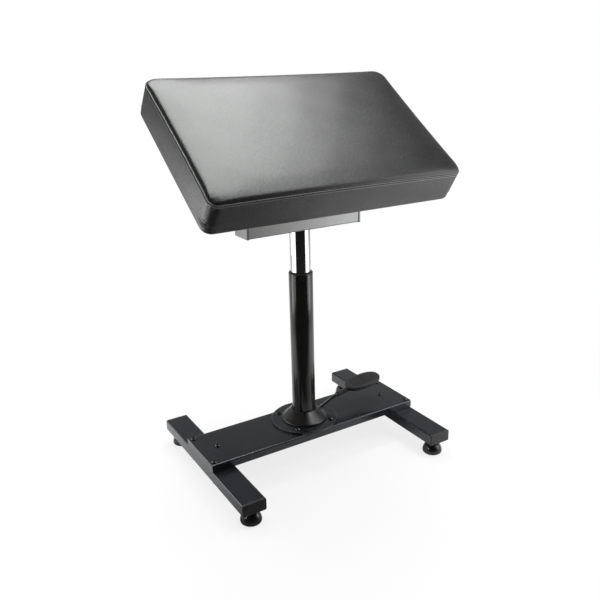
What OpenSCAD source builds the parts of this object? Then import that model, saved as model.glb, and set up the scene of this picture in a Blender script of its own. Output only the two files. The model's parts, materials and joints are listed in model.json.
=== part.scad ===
// Arm rest stand: a padded top that tilts in a yoke, on a chromed post that
// slides and turns in a black column, raised by a gas spring with a foot lever.

/* [Base] */
// Width of the base over both foot tubes
base_w = 600; // [520:5:680]
// Length of each foot, from cap face to cap face
foot_len = 460; // [400:5:540]
// Width of a foot tube
tube_w = 60; // [54:1:70]
// Height of a foot tube
tube_h = 30; // [26:1:40]
// Wall of a foot tube
tube_wall = 2.5; // [2:0.25:3]
// Thickness of the plate of a tube cap
cap_t = 4; // [3:0.5:6]
// Depth of the base beam, front to back
beam_d = 152; // [140:1:170]
// Height of the base beam
beam_h = 20; // [18:1:30]
// Sheet of the base beam
beam_wall = 3; // [2:0.5:4]

/* [Levelling feet] */
// Diameter of a glide
glide_d = 50; // [40:1:60]
// Height of the foot tubes above the floor
glide_h = 36.5; // [30:0.5:45]
// Diameter of a levelling stud
stud_d = 10; // [8:1:12]
// Travel of a levelling foot
level_travel = 10; // [5:1:12]

/* [Column] */
// Outer diameter of the column
column_d = 60; // [58:0.5:66]
// Wall of the column
column_wall = 2; // [1.5:0.25:2.5]
// Height of the column above its flange
column_h = 398; // [385:1:450]
// Diameter of the flange plate
flange_d = 172; // [166:1:180]
// Thickness of the flange plate
flange_t = 6; // [4:0.5:8]
// Diameter of the circle of flange bolts
flange_pcd = 142; // [138:1:148]
// Widest diameter of the cone cover
cone_d = 118; // [116:1:122]
// Height of the cone cover
cone_h = 28; // [26:0.5:32]
// Sheet of the cone cover
cone_wall = 1.5; // [1:0.25:2]

/* [Post and gas spring] */
// Outer diameter of the post
post_d = 50; // [46:0.5:51]
// Wall of the post
post_wall = 2.5; // [2:0.25:3]
// Length of post between the column and the yoke
post_show = 110; // [104:1:150]
// Rise of the top from this height
lift_up = 120; // [80:5:120]
// Fall of the top from this height
lift_down = 100; // [60:5:100]
// Outer diameter of the gas spring
cylinder_d = 28; // [25:0.5:32]
// Diameter of the piston rod
rod_d = 12; // [10:0.5:13]
// Diameter of the release pin
pin_d = 5; // [4:0.5:6]

/* [Foot lever] */
// Diameter of the lever rod
lever_d = 9; // [7:0.5:10]
// Distance from the column axis to the middle of the pedal
pedal_x = 188; // [180:1:205]
// Height of the pedal above the beam
pedal_rise = 63; // [60:1:70]
// Length of the pedal
pedal_len = 106; // [95:1:112]
// Width of the pedal
pedal_w = 65; // [55:1:75]
// Upward tilt of the pedal
pedal_tilt = 7; // [4:1:10]
// Thickness of the pedal rubber
rubber_t = 11.5; // [10:0.5:14]

/* [Yoke] */
// Length of the yoke over its cheeks
yoke_w = 314; // [280:1:360]
// Depth of the yoke bar
bar_d = 60; // [56:1:64]
// Height of the yoke bar
bar_h = 30; // [26:1:36]
// Wall of the yoke bar
bar_wall = 2.5; // [2:0.25:3]
// Plate of a yoke cheek
cheek_t = 5; // [4:0.5:8]
// Height of the tilt axis above the underside of the bar
pivot_rise = 143.5; // [140:0.5:170]
// Diameter of a pivot bolt
pivot_d = 12; // [10:0.5:14]

/* [Tilt] */
// Tilt of the pad as drawn
tilt = 35; // [20:1:50]
// Steepest tilt of the pad
tilt_max = 70; // [60:1:70]
// Radius of the clamp slot about the tilt axis
slot_r = 70; // [66:1:74]
// Diameter of the clamp stud
clamp_d = 10; // [8:0.5:12]
// Plate of the pad rails
rail_t = 4; // [3:0.5:5]
// Length of a pad rail
rail_len = 250; // [230:5:280]

/* [Pad] */
// Width of the pad
pad_w = 640; // [560:5:700]
// Depth of the pad
pad_d = 394; // [350:2:420]
// Height of the seam above the underside
pad_t = 79; // [66:1:90]
// Rise of the crown above the seam
pad_crown = 17; // [8:1:24]
// Radius of a corner of the pad
pad_corner = 23; // [18:1:30]
// Distance from the tilt axis to the underside of the pad
pad_drop = 27; // [26:0.5:40]
// Distance from the tilt axis to the middle of the pad, up the slope
pad_shift = 12; // [0:1:20]
// Thickness of the board
board_t = 12; // [10:0.5:15]
// Thickness of the cover
cover_t = 1.5; // [1:0.25:2]

/* [Fits] */
// Radial clearance of a piece that slides or turns
run_gap = 0.05; // [0.03:0.01:0.08]
// Radial clearance of a piece that is fixed
seat_gap = 0.05; // [0.03:0.01:0.1]
// Clearance between loose faces
face_gap = 0.3; // [0.2:0.05:0.4]

/* [Hidden] */
$fn = 64;
cut = 1; // overrun of a cut past a face

// Heights above the floor
tube_z = glide_h;
beam_z = tube_z + tube_h;
deck_z = beam_z + beam_h;
plate_z = deck_z + flange_t;
rim_z = plate_z + column_h;
bar_z = rim_z + post_show;
pivot_z = bar_z + pivot_rise;

// Finishes
black_paint = "#2a2b2d";
black_plastic = "#18181a";
black_rubber = "#202022";
steel = "#b9bcc0";
chrome = "#dfe3e6";
satin_grey = "#8f9192";
leather = "#232426";
foam_grey = "#c9c6ba";
plywood = "#c39a63";

// Fasteners
m8_d = 8;
m8_head_d = 14;
m8_head_h = 4.4;
m8_key = 5;
m8_nut = 13;
m8_nut_h = 6.5;
m8_play = 0.3;
m6_d = 6;
m6_head_d = 10.5;
m6_head_h = 3.3;
m6_key = 4;
m6_play = 0.3;
m10_nut = 17;
m10_nut_h = 8;
tip = 2; // length of thread past a nut
hex = 6; // sides of a hexagon
// Outline of a button head as shares of its radius and of its height
button_shares = [[1, 0], [1, 0.3], [0.88, 0.68], [0.62, 1]];
key_share = 0.4;

// Foot tubes and their caps
tube_corner = 4;
cap_chamfer = 1;
cap_plug = 14;
cap_plug_wall = 2;
cap_rib_share = 0.17;
tube_len = foot_len - 2 * cap_t;
tube_x = (base_w - tube_w) / 2;
bolt_out = 19; // offset of a beam bolt from the middle of its tube
bolt_y = beam_d / 2 - 13;

// Levelling feet
glide_in_x = 32;
glide_in_y = 26;
glide_x = base_w / 2 - glide_in_x;
glide_y = foot_len / 2 - glide_in_y;
// Outline of a glide as shares of its radius and of its height
glide_shares = [
    [0.74, 0], [0.88, 0.04], [0.97, 0.1], [1, 0.17], [1, 0.24], [0.97, 0.35], [0.92, 0.46],
    [0.84, 0.57], [0.72, 0.68], [0.58, 0.77], [0.47, 0.84], [0.42, 0.9], [0.42, 1]
];
stud_floor = 12; // bottom of the stud inside its glide
stud_reach = 18; // length of stud inside the tube
insert_d = 16;
insert_h = 12;

// Beam
beam_corner = 4;
spacer_d = 14;

// Column and its cone
flange_chamfer = 1.2;
column_r = column_d / 2;
column_in = column_r - column_wall;
cone_r = cone_d / 2;
belly_r = 3;
belly_h = 2.6;
belly_low = -asin(belly_h / belly_r);
belly_high = 47;
belly_steps = 6;
neck_lip = 1.5;
bush_h = 60;
collar_h = 4.5;
collar_r = 27;
post_r = post_d / 2;

// Rod, its bearing and the release pin
rod_r = rod_d / 2;
rod_low = 17; // underside of the rod above the flange plate
clip_low = 18;
clip_t = 1.2;
clip_groove = 1;
clip_d = 18;
anchor_low = 20;
anchor_t = 8;
race_d = 26;
race_t = 1.5;
ball_d = 4;
ball_play = 0.1;
ball_count = 12;
collar_t = 5;
rod_collar_d = 24;
anchor_z = plate_z + anchor_low;
race_z = anchor_z + anchor_t;
ball_z = race_z + race_t + ball_d / 2;
upper_race_z = race_z + race_t + ball_d;
collar_z = upper_race_z + race_t;
ball_ring = (rod_d + race_d) / 4;
pin_out = 6; // length of pin below the rod
pin_stop = 6; // solid end of the rod above the pin
valve_gap = 5.5;

// Gas spring and post
cylinder_wall = 1.5;
cylinder_end = 4;
guide_h = 20;
piston_h = 12;
piston_spare = 16;
plug_t = 14;
plug_bolt_x = 16;
spring_stud_d = 10;
ring_h = 30;
post_spare = 17;
cylinder_len = lift_up + lift_down + guide_h + piston_h + cylinder_end + piston_spare;
cylinder_top = bar_z - plug_t;
cylinder_z = cylinder_top - cylinder_len;
piston_z = cylinder_z + guide_h + lift_up + piston_spare / 4;
rod_top = piston_z + piston_h;
post_z = collar_z + collar_t + lift_down + post_spare;

// Foot lever
lever_x = 40; // pivot of the lever
lever_h = 7.5; // pivot above the flange plate
lever_top = 10.5; // upper face of the inner arm above the flange plate
arm_t = 7;
arm_w = 8;
arm_tail = 7;
boss_w = 10;
boss_r = 6;
lever_pin_d = 5;
pin_head_d = 8;
pin_head_t = 1.2;
ear_t = 3;
ear_w = 14;
ear_r = 6.5;
bend_x = 100;
bend_h = 40.5; // bend of the lever above the beam
elbow_swell = 0.2;
swing_mid = 3;
window_play = 2.3;
slot_play = 2.5;
sleeve_d = 11.4;
sleeve_gap = 4;
sleeve_fill = 25;
sleeve_in = 10; // length of sleeve under the pedal
socket_drop = 1;
rubber_skin = 3;
plate_t = 4;
rubber_round = 2;
groove_w = 2.4;
groove_t = 1.2;
groove_pitch = 6.5;
groove_edge = 7;
groove_share = 0.7;
crease_share = 0.6;
oval_power = 2.3;
oval_steps = 60;
lever_at = [lever_x, plate_z + lever_h];
bend_at = [bend_x, deck_z + bend_h];
plate_low = rubber_skin - rubber_t;
socket_local = plate_low - socket_drop;
socket_out = pedal_len / 2 - rubber_skin;
socket_at = [
    pedal_x - socket_out * cos(pedal_tilt) - socket_local * sin(pedal_tilt),
    deck_z + pedal_rise - socket_out * sin(pedal_tilt) + socket_local * cos(pedal_tilt)
];
sleeve_dir = (socket_at - bend_at) / norm(socket_at - bend_at);
sleeve_at = bend_at + sleeve_dir * sleeve_gap;
sleeve_end = socket_at + sleeve_dir * sleeve_in;
groove_side = floor((pedal_w / 2 - groove_edge) / groove_pitch);

// Yoke
cheek_d = bar_d + 2;
cheek_r = 22;
cheek_x = yoke_w / 2 - cheek_t;
bar_corner = 4;
access_w = 26;
access_l = 58;
washer_t = 1.5;
washer_d = 32;
pivot_head = 18;
pivot_head_h = 7.5;
pivot_nut_h = 10;
web_x = cheek_x - washer_t;
clamp_z = pivot_z - slot_r;
clamp_nut_w = 18;
clamp_nut_t = 8;
knob_r = 17;
lobe_r = 6.5;
lobe_at = 19;
lobes = 6;
knob_t = 15;
hub_r = 11;
hub_t = 9;

// Pad rails
rail_w = 34;
web_edge = 9;
rail_boss = 18;
fan_margin = 12;
fan_edge = 14;
fan_hole_r = 7;
fan_hole_at = 38;
slot_play_r = face_gap;
slot_steps = 28;
end_steps = 10;
slot_end = 180 / (end_steps + 2);
rail_screw_y = [-100, -45, 45, 100];
rail_screw_in = 20;
tee_d = 18;
tee_t = 1.2;
tee_barrel = 8.5;

// Outline of the cover, from the hem up the side and over the crown. Each ring
// has its inset from the widest outline, its height above the underside, the
// radius of its corners and how far the middle of each side is drawn in.
hem_w = 28;
edge_in = 1.5;
edge_up = 4;
band_in = 1.2;
seam_in = 2.6;
shoulder_in = 6;
seam_r = 20;
top_r = 68;
bow = 2.5;
bow_low = 1.2;
corner_steps = 6;
long_steps = 6;
short_steps = 4;
shoulder_share = 0.52;
// Crown as shares of the half depth and of the crown height
crown_shares = [[0.14, 0.74], [0.3, 0.89], [0.55, 0.98]];
soft_gap = face_gap;
board_top = cover_t + board_t;

function crown_ring(s, t) = [pad_d / 2 * s[0], pad_t + pad_crown * s[1] - t, top_r, 0];
function shoulder_ring(t) = [shoulder_in + t, pad_t + pad_crown * shoulder_share - t, top_r - t, bow];
function seam_ring(t) = [seam_in + t, pad_t - t / 2, seam_r - t, bow];
function band_ring(t) = [band_in + t, pad_t / 2, pad_corner - t, bow_low];
function low_ring(t, h) = [t, h, pad_corner - t, 0];

function outer_profile() = concat(
    [
        [edge_in + hem_w, 0, edge_up, 0], [edge_in, 0, pad_corner - edge_in, 0],
        low_ring(0, edge_up), low_ring(0, board_top), band_ring(0), seam_ring(0), shoulder_ring(0)
    ],
    [for (s = crown_shares) crown_ring(s, 0)]
);

// The same outline taken in by a thickness, from the crown down to the board
function inner_profile(t) = [
    crown_ring(crown_shares[2], t), crown_ring(crown_shares[1], t), crown_ring(crown_shares[0], t),
    shoulder_ring(t), seam_ring(t), band_ring(t), low_ring(t, board_top)
];

// One closed ring of points: a rounded rectangle whose sides bow inwards
function side_run(p, q, n, out, b) = [
    for (i = [1 : n]) let (t = i / (n + 1)) p + (q - p) * t - out * b * 4 * t * (1 - t)
];
function ring_plan(hw, hd, r, b) = [
    for (k = [0 : 3])
        let (
            c = [(k == 0 || k == 3 ? 1 : -1) * (hw - r), (k < 2 ? 1 : -1) * (hd - r)],
            m = (k + 1) % 4,
            n = [(m == 0 || m == 3 ? 1 : -1) * (hw - r), (m < 2 ? 1 : -1) * (hd - r)],
            out = [cos(90 * (k + 1)), sin(90 * (k + 1))]
        )
        each concat(
            [for (j = [0 : corner_steps]) let (a = 90 * (k + j / corner_steps)) c + r * [cos(a), sin(a)]],
            side_run(c + r * out, n + r * out, k % 2 == 0 ? long_steps : short_steps, out, b)
        )
];
function ring_at(p) = [
    for (q = ring_plan(pad_w / 2 - p[0], pad_d / 2 - p[0], p[2], p[3])) [q[0], q[1], p[1]]
];
ring_n = 4 * (corner_steps + 1) + 2 * (long_steps + short_steps);

// Two triangles for each step of the strip between rings i and j
function strip(i, j) = [
    for (k = [0 : ring_n - 1])
        let (m = (k + 1) % ring_n)
        each [
            [i * ring_n + k, j * ring_n + k, j * ring_n + m],
            [i * ring_n + k, j * ring_n + m, i * ring_n + m]
        ]
];
function fan_to(i, tip_index) = [
    for (k = [0 : ring_n - 1]) [i * ring_n + k, tip_index, i * ring_n + (k + 1) % ring_n]
];
function fan_from(tip_index, i) = [
    for (k = [0 : ring_n - 1]) [tip_index, i * ring_n + k, i * ring_n + (k + 1) % ring_n]
];

// Shapes that repeat
module turned(points) {
    rotate_extrude() polygon(points);
}

module rounded_rect(w, h, r) {
    square([w - 2 * r, h], center = true);
    square([w, h - 2 * r], center = true);
    for (x = [-1, 1], y = [-1, 1])
        translate([x * (w / 2 - r), y * (h / 2 - r)]) circle(r);
}

module box_section(w, h, wall, r) {
    difference() {
        rounded_rect(w, h, r);
        rounded_rect(w - 2 * wall, h - 2 * wall, r - wall / 2);
    }
}

module button_bolt(d, head_d, head_h, key, length) {
    r = head_d / 2;
    difference() {
        union() {
            turned(concat([[0, 0]], [for (s = button_shares) [r * s[0], head_h * s[1]]], [[0, head_h]]));
            translate([0, 0, -length]) cylinder(d = d, h = length + head_h / 2);
        }
        translate([0, 0, head_h * key_share]) cylinder(d = key / cos(30), h = head_h, $fn = hex);
    }
}

module hex_nut(across, h, bore) {
    difference() {
        cylinder(d = across / cos(30), h = h, $fn = hex);
        translate([0, 0, -cut]) cylinder(d = bore, h = h + 2 * cut);
    }
}

module rod_between(a, b, d) {
    translate([a[0], 0, a[1]])
        rotate([0, atan2(b[0] - a[0], b[1] - a[1]), 0])
            cylinder(d = d, h = norm(b - a));
}

module on_pad() {
    translate([0, 0, pivot_z]) rotate([tilt, 0, 0]) children();
}

module on_pedal() {
    translate([pedal_x, 0, deck_z + pedal_rise]) rotate([0, -pedal_tilt, 0]) children();
}

module plate_yz(x, t) {
    translate([x, 0, 0]) rotate([90, 0, 90]) linear_extrude(t) children();
}

// Places of the beam bolts: two near the outer edge of each tube, one near the inner edge
beam_bolt_at = [
    for (s = [-1, 1])
        each [
            [s * (tube_x + bolt_out), -bolt_y],
            [s * (tube_x + bolt_out), bolt_y],
            [s * (tube_x - bolt_out), 0]
        ]
];
flange_bolt_at = [for (a = [45 : 90 : 315]) flange_pcd / 2 * [cos(a), sin(a)]];

// Base
module base_beam() {
    color(black_paint)
        difference() {
            translate([-base_w / 2, 0, beam_z])
                rotate([90, 0, 90])
                    linear_extrude(base_w) {
                        translate([-beam_d / 2, 0]) square([beam_d, beam_h - beam_corner]);
                        translate([-beam_d / 2 + beam_corner, 0]) square([beam_d - 2 * beam_corner, beam_h]);
                        for (s = [-1, 1])
                            translate([s * (beam_d / 2 - beam_corner), beam_h - beam_corner])
                                circle(beam_corner);
                    }
            translate([-base_w / 2 + beam_wall, -beam_d / 2 + beam_wall, beam_z - cut])
                cube([base_w - 2 * beam_wall, beam_d - 2 * beam_wall, beam_h - beam_wall + cut]);
            for (p = concat(beam_bolt_at, flange_bolt_at))
                translate([p[0], p[1], beam_z]) cylinder(d = m8_d + 2 * m8_play, h = beam_h + cut);
        }
}

module foot_tube(side) {
    color(black_paint)
        difference() {
            translate([side * tube_x, tube_len / 2, tube_z + tube_h / 2])
                rotate([90, 0, 0])
                    linear_extrude(tube_len) box_section(tube_w, tube_h, tube_wall, tube_corner);
            for (p = beam_bolt_at)
                translate([p[0], p[1], tube_z - cut]) cylinder(d = m8_d + 2 * m8_play, h = tube_h + 2 * cut);
            for (y = [-1, 1])
                translate([side * glide_x, y * glide_y, tube_z - cut])
                    cylinder(d = insert_d + 2 * seat_gap, h = tube_wall + 2 * cut);
        }
}

module tube_cap(side, end) {
    plug_w = tube_w - 2 * tube_wall - 2 * seat_gap;
    plug_h = tube_h - 2 * tube_wall - 2 * seat_gap;
    face_w = tube_w - 2 * cap_chamfer;
    face_h = tube_h - 2 * cap_chamfer;
    rib_h = plug_h - cap_plug_wall;
    color(black_plastic)
        translate([side * tube_x, end * tube_len / 2, tube_z + tube_h / 2])
            rotate([-end * 90, 0, 0]) {
                hull() {
                    linear_extrude(cap_t - cap_chamfer) rounded_rect(tube_w, tube_h, tube_corner, $fn = 32);
                    linear_extrude(cap_t) rounded_rect(face_w, face_h, tube_corner - cap_chamfer, $fn = 32);
                }
                translate([0, 0, -cap_plug])
                    linear_extrude(cap_plug + cap_chamfer) {
                        box_section(plug_w, plug_h, cap_plug_wall, tube_corner - tube_wall / 2);
                        for (x = [-1, 1])
                            translate([x * plug_w * cap_rib_share, 0])
                                square([cap_plug_wall, rib_h], center = true);
                    }
            }
}

module glide(side, end) {
    color(black_plastic)
        translate([side * glide_x, end * glide_y, 0])
            difference() {
                turned(concat(
                    [[0, 0]],
                    [for (s = glide_shares) [glide_d / 2 * s[0], glide_h * s[1]]],
                    [[0, glide_h]]
                ));
                translate([0, 0, stud_floor]) cylinder(d = stud_d + 2 * seat_gap, h = glide_h);
            }
}

module level_stud(side, end) {
    color(steel)
        translate([side * glide_x, end * glide_y, stud_floor])
            cylinder(d = stud_d, h = glide_h - stud_floor + stud_reach);
}

module stud_inserts() {
    color(steel)
        for (x = [-1, 1], y = [-1, 1])
            translate([x * glide_x, y * glide_y, tube_z])
                difference() {
                    cylinder(d = insert_d, h = insert_h);
                    translate([0, 0, -cut]) cylinder(d = stud_d + 2 * run_gap, h = insert_h + 2 * cut);
                }
}

module beam_bolts() {
    color(black_paint)
        for (p = beam_bolt_at)
            translate([p[0], p[1], deck_z])
                button_bolt(m8_d, m8_head_d, m8_head_h, m8_key, beam_h + tube_h + m8_nut_h + tip);
}

module beam_spacers() {
    color(steel)
        for (p = beam_bolt_at)
            translate([p[0], p[1], beam_z])
                difference() {
                    cylinder(d = spacer_d, h = beam_h - beam_wall);
                    translate([0, 0, -cut]) cylinder(d = m8_d + 2 * m8_play, h = beam_h);
                }
}

module beam_nuts() {
    color(steel)
        for (p = beam_bolt_at)
            translate([p[0], p[1], tube_z - m8_nut_h]) hex_nut(m8_nut, m8_nut_h, m8_d + 2 * seat_gap);
}

// Column
module flange_plate() {
    r = flange_d / 2;
    edge = flange_chamfer;
    color(black_paint)
        translate([0, 0, deck_z])
            difference() {
                turned([[0, 0], [r, 0], [r, flange_t - edge], [r - edge, flange_t], [0, flange_t]]);
                for (p = flange_bolt_at)
                    translate([p[0], p[1], -cut]) cylinder(d = m8_d + 2 * m8_play, h = flange_t + 2 * cut);
            }
}

module flange_bolts() {
    color(black_paint)
        for (p = flange_bolt_at)
            translate([p[0], p[1], plate_z])
                button_bolt(m8_d, m8_head_d, m8_head_h, m8_key, flange_t + beam_wall + m8_nut_h + tip);
}

module flange_nuts() {
    color(steel)
        for (p = flange_bolt_at)
            translate([p[0], p[1], deck_z - beam_wall - m8_nut_h])
                hex_nut(m8_nut, m8_nut_h, m8_d + 2 * seat_gap);
}

// Outline of the cone cover at a distance inside its outer face
function cone_line(t) =
    let (
        hub = [cone_r - belly_r, belly_h],
        neck = column_r + neck_lip + cone_wall - t
    )
    concat(
        t > 0 ? [[hub[0] + (belly_r - t) * cos(belly_low), 0]] : [],
        [
            for (i = [0 : belly_steps])
                let (a = belly_low + (belly_high - belly_low) * i / belly_steps)
                hub + (belly_r - t) * [cos(a), sin(a)]
        ],
        [[neck + neck_lip, cone_h - neck_lip - t], [neck, cone_h - t]]
    );

module cone_cover() {
    outer = cone_line(0);
    inner = cone_line(cone_wall);
    n = len(inner);
    color(black_paint)
        difference() {
            translate([0, 0, plate_z])
                turned(concat(
                    outer,
                    [[column_r + seat_gap, cone_h], [column_r + seat_gap, cone_h - cone_wall]],
                    [for (i = [1 : n]) inner[n - i]]
                ));
            translate([lever_at[0], 0, lever_at[1]])
                rotate([0, atan2(bend_at[0] - lever_at[0], bend_at[1] - lever_at[1]) + swing_mid, 0])
                    cylinder(d = lever_d + 2 * window_play, h = cone_r / 2);
        }
}

module column_tube() {
    color(black_paint)
        difference() {
            turned([[column_in, plate_z], [column_r, plate_z], [column_r, rim_z], [column_in, rim_z]]);
            translate([column_in / 2, -lever_d / 2 - slot_play, plate_z - cut])
                cube([column_r, lever_d + 2 * slot_play, lever_h + lever_d + cut]);
        }
}

module column_bush() {
    inner = post_r + run_gap;
    outer = column_in - seat_gap;
    color(black_plastic)
        turned([
            [inner, rim_z - bush_h], [outer, rim_z - bush_h], [outer, rim_z],
            [column_r - neck_lip / 4, rim_z], [column_r - neck_lip / 4, rim_z + collar_h / 4],
            [collar_r, rim_z + collar_h], [inner, rim_z + collar_h]
        ]);
}

// Gas spring, its anchor and its turning bearing
module rod_anchor() {
    color(steel)
        turned([
            [rod_r + run_gap, anchor_z], [column_in - seat_gap, anchor_z],
            [column_in - seat_gap, anchor_z + anchor_t], [rod_r + run_gap, anchor_z + anchor_t]
        ]);
}

module race(z) {
    color(steel)
        turned([
            [rod_r + run_gap, z], [race_d / 2, z], [race_d / 2, z + race_t], [rod_r + run_gap, z + race_t]
        ]);
}

module bearing_balls() {
    color(chrome)
        for (i = [0 : ball_count - 1])
            rotate([0, 0, 360 * i / ball_count])
                translate([ball_ring, 0, ball_z]) sphere(d = ball_d - 2 * ball_play);
}

module rod_clip() {
    color(steel)
        turned([
            [rod_r - clip_groove + seat_gap, plate_z + clip_low], [clip_d / 2, plate_z + clip_low],
            [clip_d / 2, plate_z + clip_low + clip_t],
            [rod_r - clip_groove + seat_gap, plate_z + clip_low + clip_t]
        ]);
}

module piston_rod() {
    bore = pin_d / 2 + run_gap;
    clip_z = plate_z + clip_low;
    color(chrome)
        turned([
            [bore, plate_z + rod_low], [rod_r, plate_z + rod_low],
            [rod_r, clip_z - seat_gap], [rod_r - clip_groove, clip_z - seat_gap],
            [rod_r - clip_groove, clip_z + clip_t + seat_gap], [rod_r, clip_z + clip_t + seat_gap],
            [rod_r, collar_z], [rod_collar_d / 2, collar_z],
            [rod_collar_d / 2, collar_z + collar_t], [rod_r, collar_z + collar_t],
            [rod_r, rod_top], [0, rod_top], [0, rod_top - pin_stop], [bore, rod_top - pin_stop]
        ]);
}

module piston() {
    inner = rod_r + seat_gap;
    outer = cylinder_d / 2 - cylinder_wall - run_gap;
    color(steel)
        turned([[inner, piston_z], [outer, piston_z], [outer, rod_top], [inner, rod_top]]);
}

module release_pin() {
    low = plate_z + rod_low - pin_out;
    color(steel)
        translate([0, 0, low]) cylinder(d = pin_d, h = rod_top - pin_stop - valve_gap - low);
}

// Foot lever
module lever_ears() {
    color(black_paint)
        for (s = [-1, 1])
            difference() {
                translate([lever_x, s * (boss_w / 2 + face_gap + ear_t / 2) + ear_t / 2, plate_z])
                    rotate([90, 0, 0])
                        linear_extrude(ear_t) {
                            translate([-ear_w / 2, 0]) square([ear_w, lever_h]);
                            translate([0, lever_h]) circle(ear_r);
                        }
                translate([lever_x, boss_w * 2, plate_z + lever_h])
                    rotate([90, 0, 0]) cylinder(d = lever_pin_d + 2 * seat_gap, h = boss_w * 4);
            }
}

module lever_pin() {
    half = boss_w / 2 + face_gap + ear_t;
    color(steel)
        translate([lever_x, half, plate_z + lever_h])
            rotate([90, 0, 0]) {
                cylinder(d = lever_pin_d, h = 2 * half);
                translate([0, 0, -pin_head_t]) cylinder(d = pin_head_d, h = pin_head_t);
                translate([0, 0, 2 * half]) cylinder(d = pin_head_d, h = pin_head_t);
            }
}

module foot_lever() {
    color(black_paint)
        difference() {
            union() {
                translate([-arm_tail, -arm_w / 2, plate_z + lever_top - arm_t])
                    cube([lever_x + arm_tail, arm_w, arm_t]);
                translate([lever_x, boss_w / 2, plate_z + lever_h])
                    rotate([90, 0, 0]) cylinder(r = boss_r, h = boss_w);
                rod_between(lever_at, bend_at, lever_d);
                translate([bend_at[0], 0, bend_at[1]]) sphere(d = lever_d + elbow_swell);
                rod_between(bend_at, sleeve_at + sleeve_dir * sleeve_fill, lever_d);
            }
            translate([lever_x, boss_w, plate_z + lever_h])
                rotate([90, 0, 0]) cylinder(d = lever_pin_d + 2 * run_gap, h = 2 * boss_w);
        }
}

module oval(l, w) {
    polygon([
        for (i = [0 : oval_steps - 1])
            let (
                a = 360 * i / oval_steps,
                c = cos(a),
                s = sin(a)
            )
            [
                l / 2 * sign(c) * pow(abs(c), 2 / oval_power),
                w / 2 * sign(s) * pow(abs(s), 2 / oval_power)
            ]
    ]);
}

// Length of the oval at a distance from its middle line
function chord(l, w, y) = l * pow(1 - pow(2 * abs(y) / w, oval_power), 1 / oval_power);

// A shallow groove in the top of the pedal
module groove(l, w) {
    translate([-l / 2, -w / 2, -groove_t]) cube([l, w, groove_t + cut]);
}

module pedal_plate() {
    color(black_paint)
        difference() {
            union() {
                on_pedal()
                    translate([0, 0, plate_low])
                        linear_extrude(plate_t) oval(pedal_len - 2 * rubber_skin, pedal_w - 2 * rubber_skin);
                rod_between(sleeve_at, sleeve_end, sleeve_d);
            }
            rod_between(bend_at, sleeve_at + sleeve_dir * (sleeve_fill + seat_gap), lever_d + 2 * seat_gap);
        }
}

module pedal_rubber() {
    face_l = pedal_len - 2 * rubber_round;
    face_w = pedal_w - 2 * rubber_round;
    rubber_in = rubber_skin - seat_gap;
    color(black_rubber)
        difference() {
            on_pedal()
                difference() {
                    hull() {
                        translate([0, 0, -rubber_t]) linear_extrude(rubber_t) oval(face_l, face_w);
                        translate([0, 0, rubber_round - rubber_t])
                            linear_extrude(rubber_t - 2 * rubber_round) oval(pedal_len, pedal_w);
                    }
                    translate([0, 0, plate_low - seat_gap])
                        linear_extrude(plate_t + 2 * seat_gap)
                            oval(pedal_len - 2 * rubber_in, pedal_w - 2 * rubber_in);
                    for (i = [-groove_side : groove_side])
                        translate([0, i * groove_pitch, 0])
                            groove(groove_share * chord(pedal_len, pedal_w, i * groove_pitch), groove_w);
                    groove(groove_w, crease_share * pedal_w);
                }
            rod_between(sleeve_at, sleeve_end + sleeve_dir * seat_gap, sleeve_d + 2 * seat_gap);
        }
}

// Post and what it carries
module post_tube() {
    color(chrome)
        turned([
            [post_r - post_wall, post_z], [post_r, post_z], [post_r, bar_z], [post_r - post_wall, bar_z]
        ]);
}

module post_plug() {
    through = plug_t + 2 * cut;
    color(steel)
        translate([0, 0, bar_z - plug_t])
            difference() {
                cylinder(r = post_r - post_wall - seat_gap, h = plug_t);
                translate([0, 0, -cut]) cylinder(d = spring_stud_d + 2 * seat_gap, h = through);
                for (x = [-plug_bolt_x, plug_bolt_x])
                    translate([x, 0, -cut]) cylinder(d = m6_d + 2 * seat_gap, h = through);
            }
}

module post_ring() {
    color(black_plastic)
        turned([
            [post_r + seat_gap, post_z], [column_in - run_gap, post_z],
            [column_in - run_gap, post_z + ring_h], [post_r + seat_gap, post_z + ring_h]
        ]);
}

module gas_cylinder() {
    outer = cylinder_d / 2;
    inner = outer - cylinder_wall;
    stud = spring_stud_d / 2;
    stud_top = bar_z + bar_wall + m10_nut_h + tip;
    end_z = cylinder_top - cylinder_end;
    color(black_paint)
        turned([
            [inner, cylinder_z], [outer, cylinder_z], [outer, cylinder_top], [stud, cylinder_top],
            [stud, stud_top], [0, stud_top], [0, end_z], [inner, end_z]
        ]);
}

module rod_guide() {
    outer = cylinder_d / 2 - cylinder_wall - seat_gap;
    color(black_plastic)
        turned([
            [rod_r + run_gap, cylinder_z], [outer, cylinder_z],
            [outer, cylinder_z + guide_h], [rod_r + run_gap, cylinder_z + guide_h]
        ]);
}

module head_fasteners() {
    color(steel) {
        translate([0, 0, bar_z + bar_wall]) hex_nut(m10_nut, m10_nut_h, spring_stud_d + 2 * seat_gap);
        for (x = [-plug_bolt_x, plug_bolt_x])
            translate([x, 0, bar_z + bar_wall])
                button_bolt(m6_d, m6_head_d, m6_head_h, m6_key, bar_wall + plug_t);
    }
}

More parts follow.
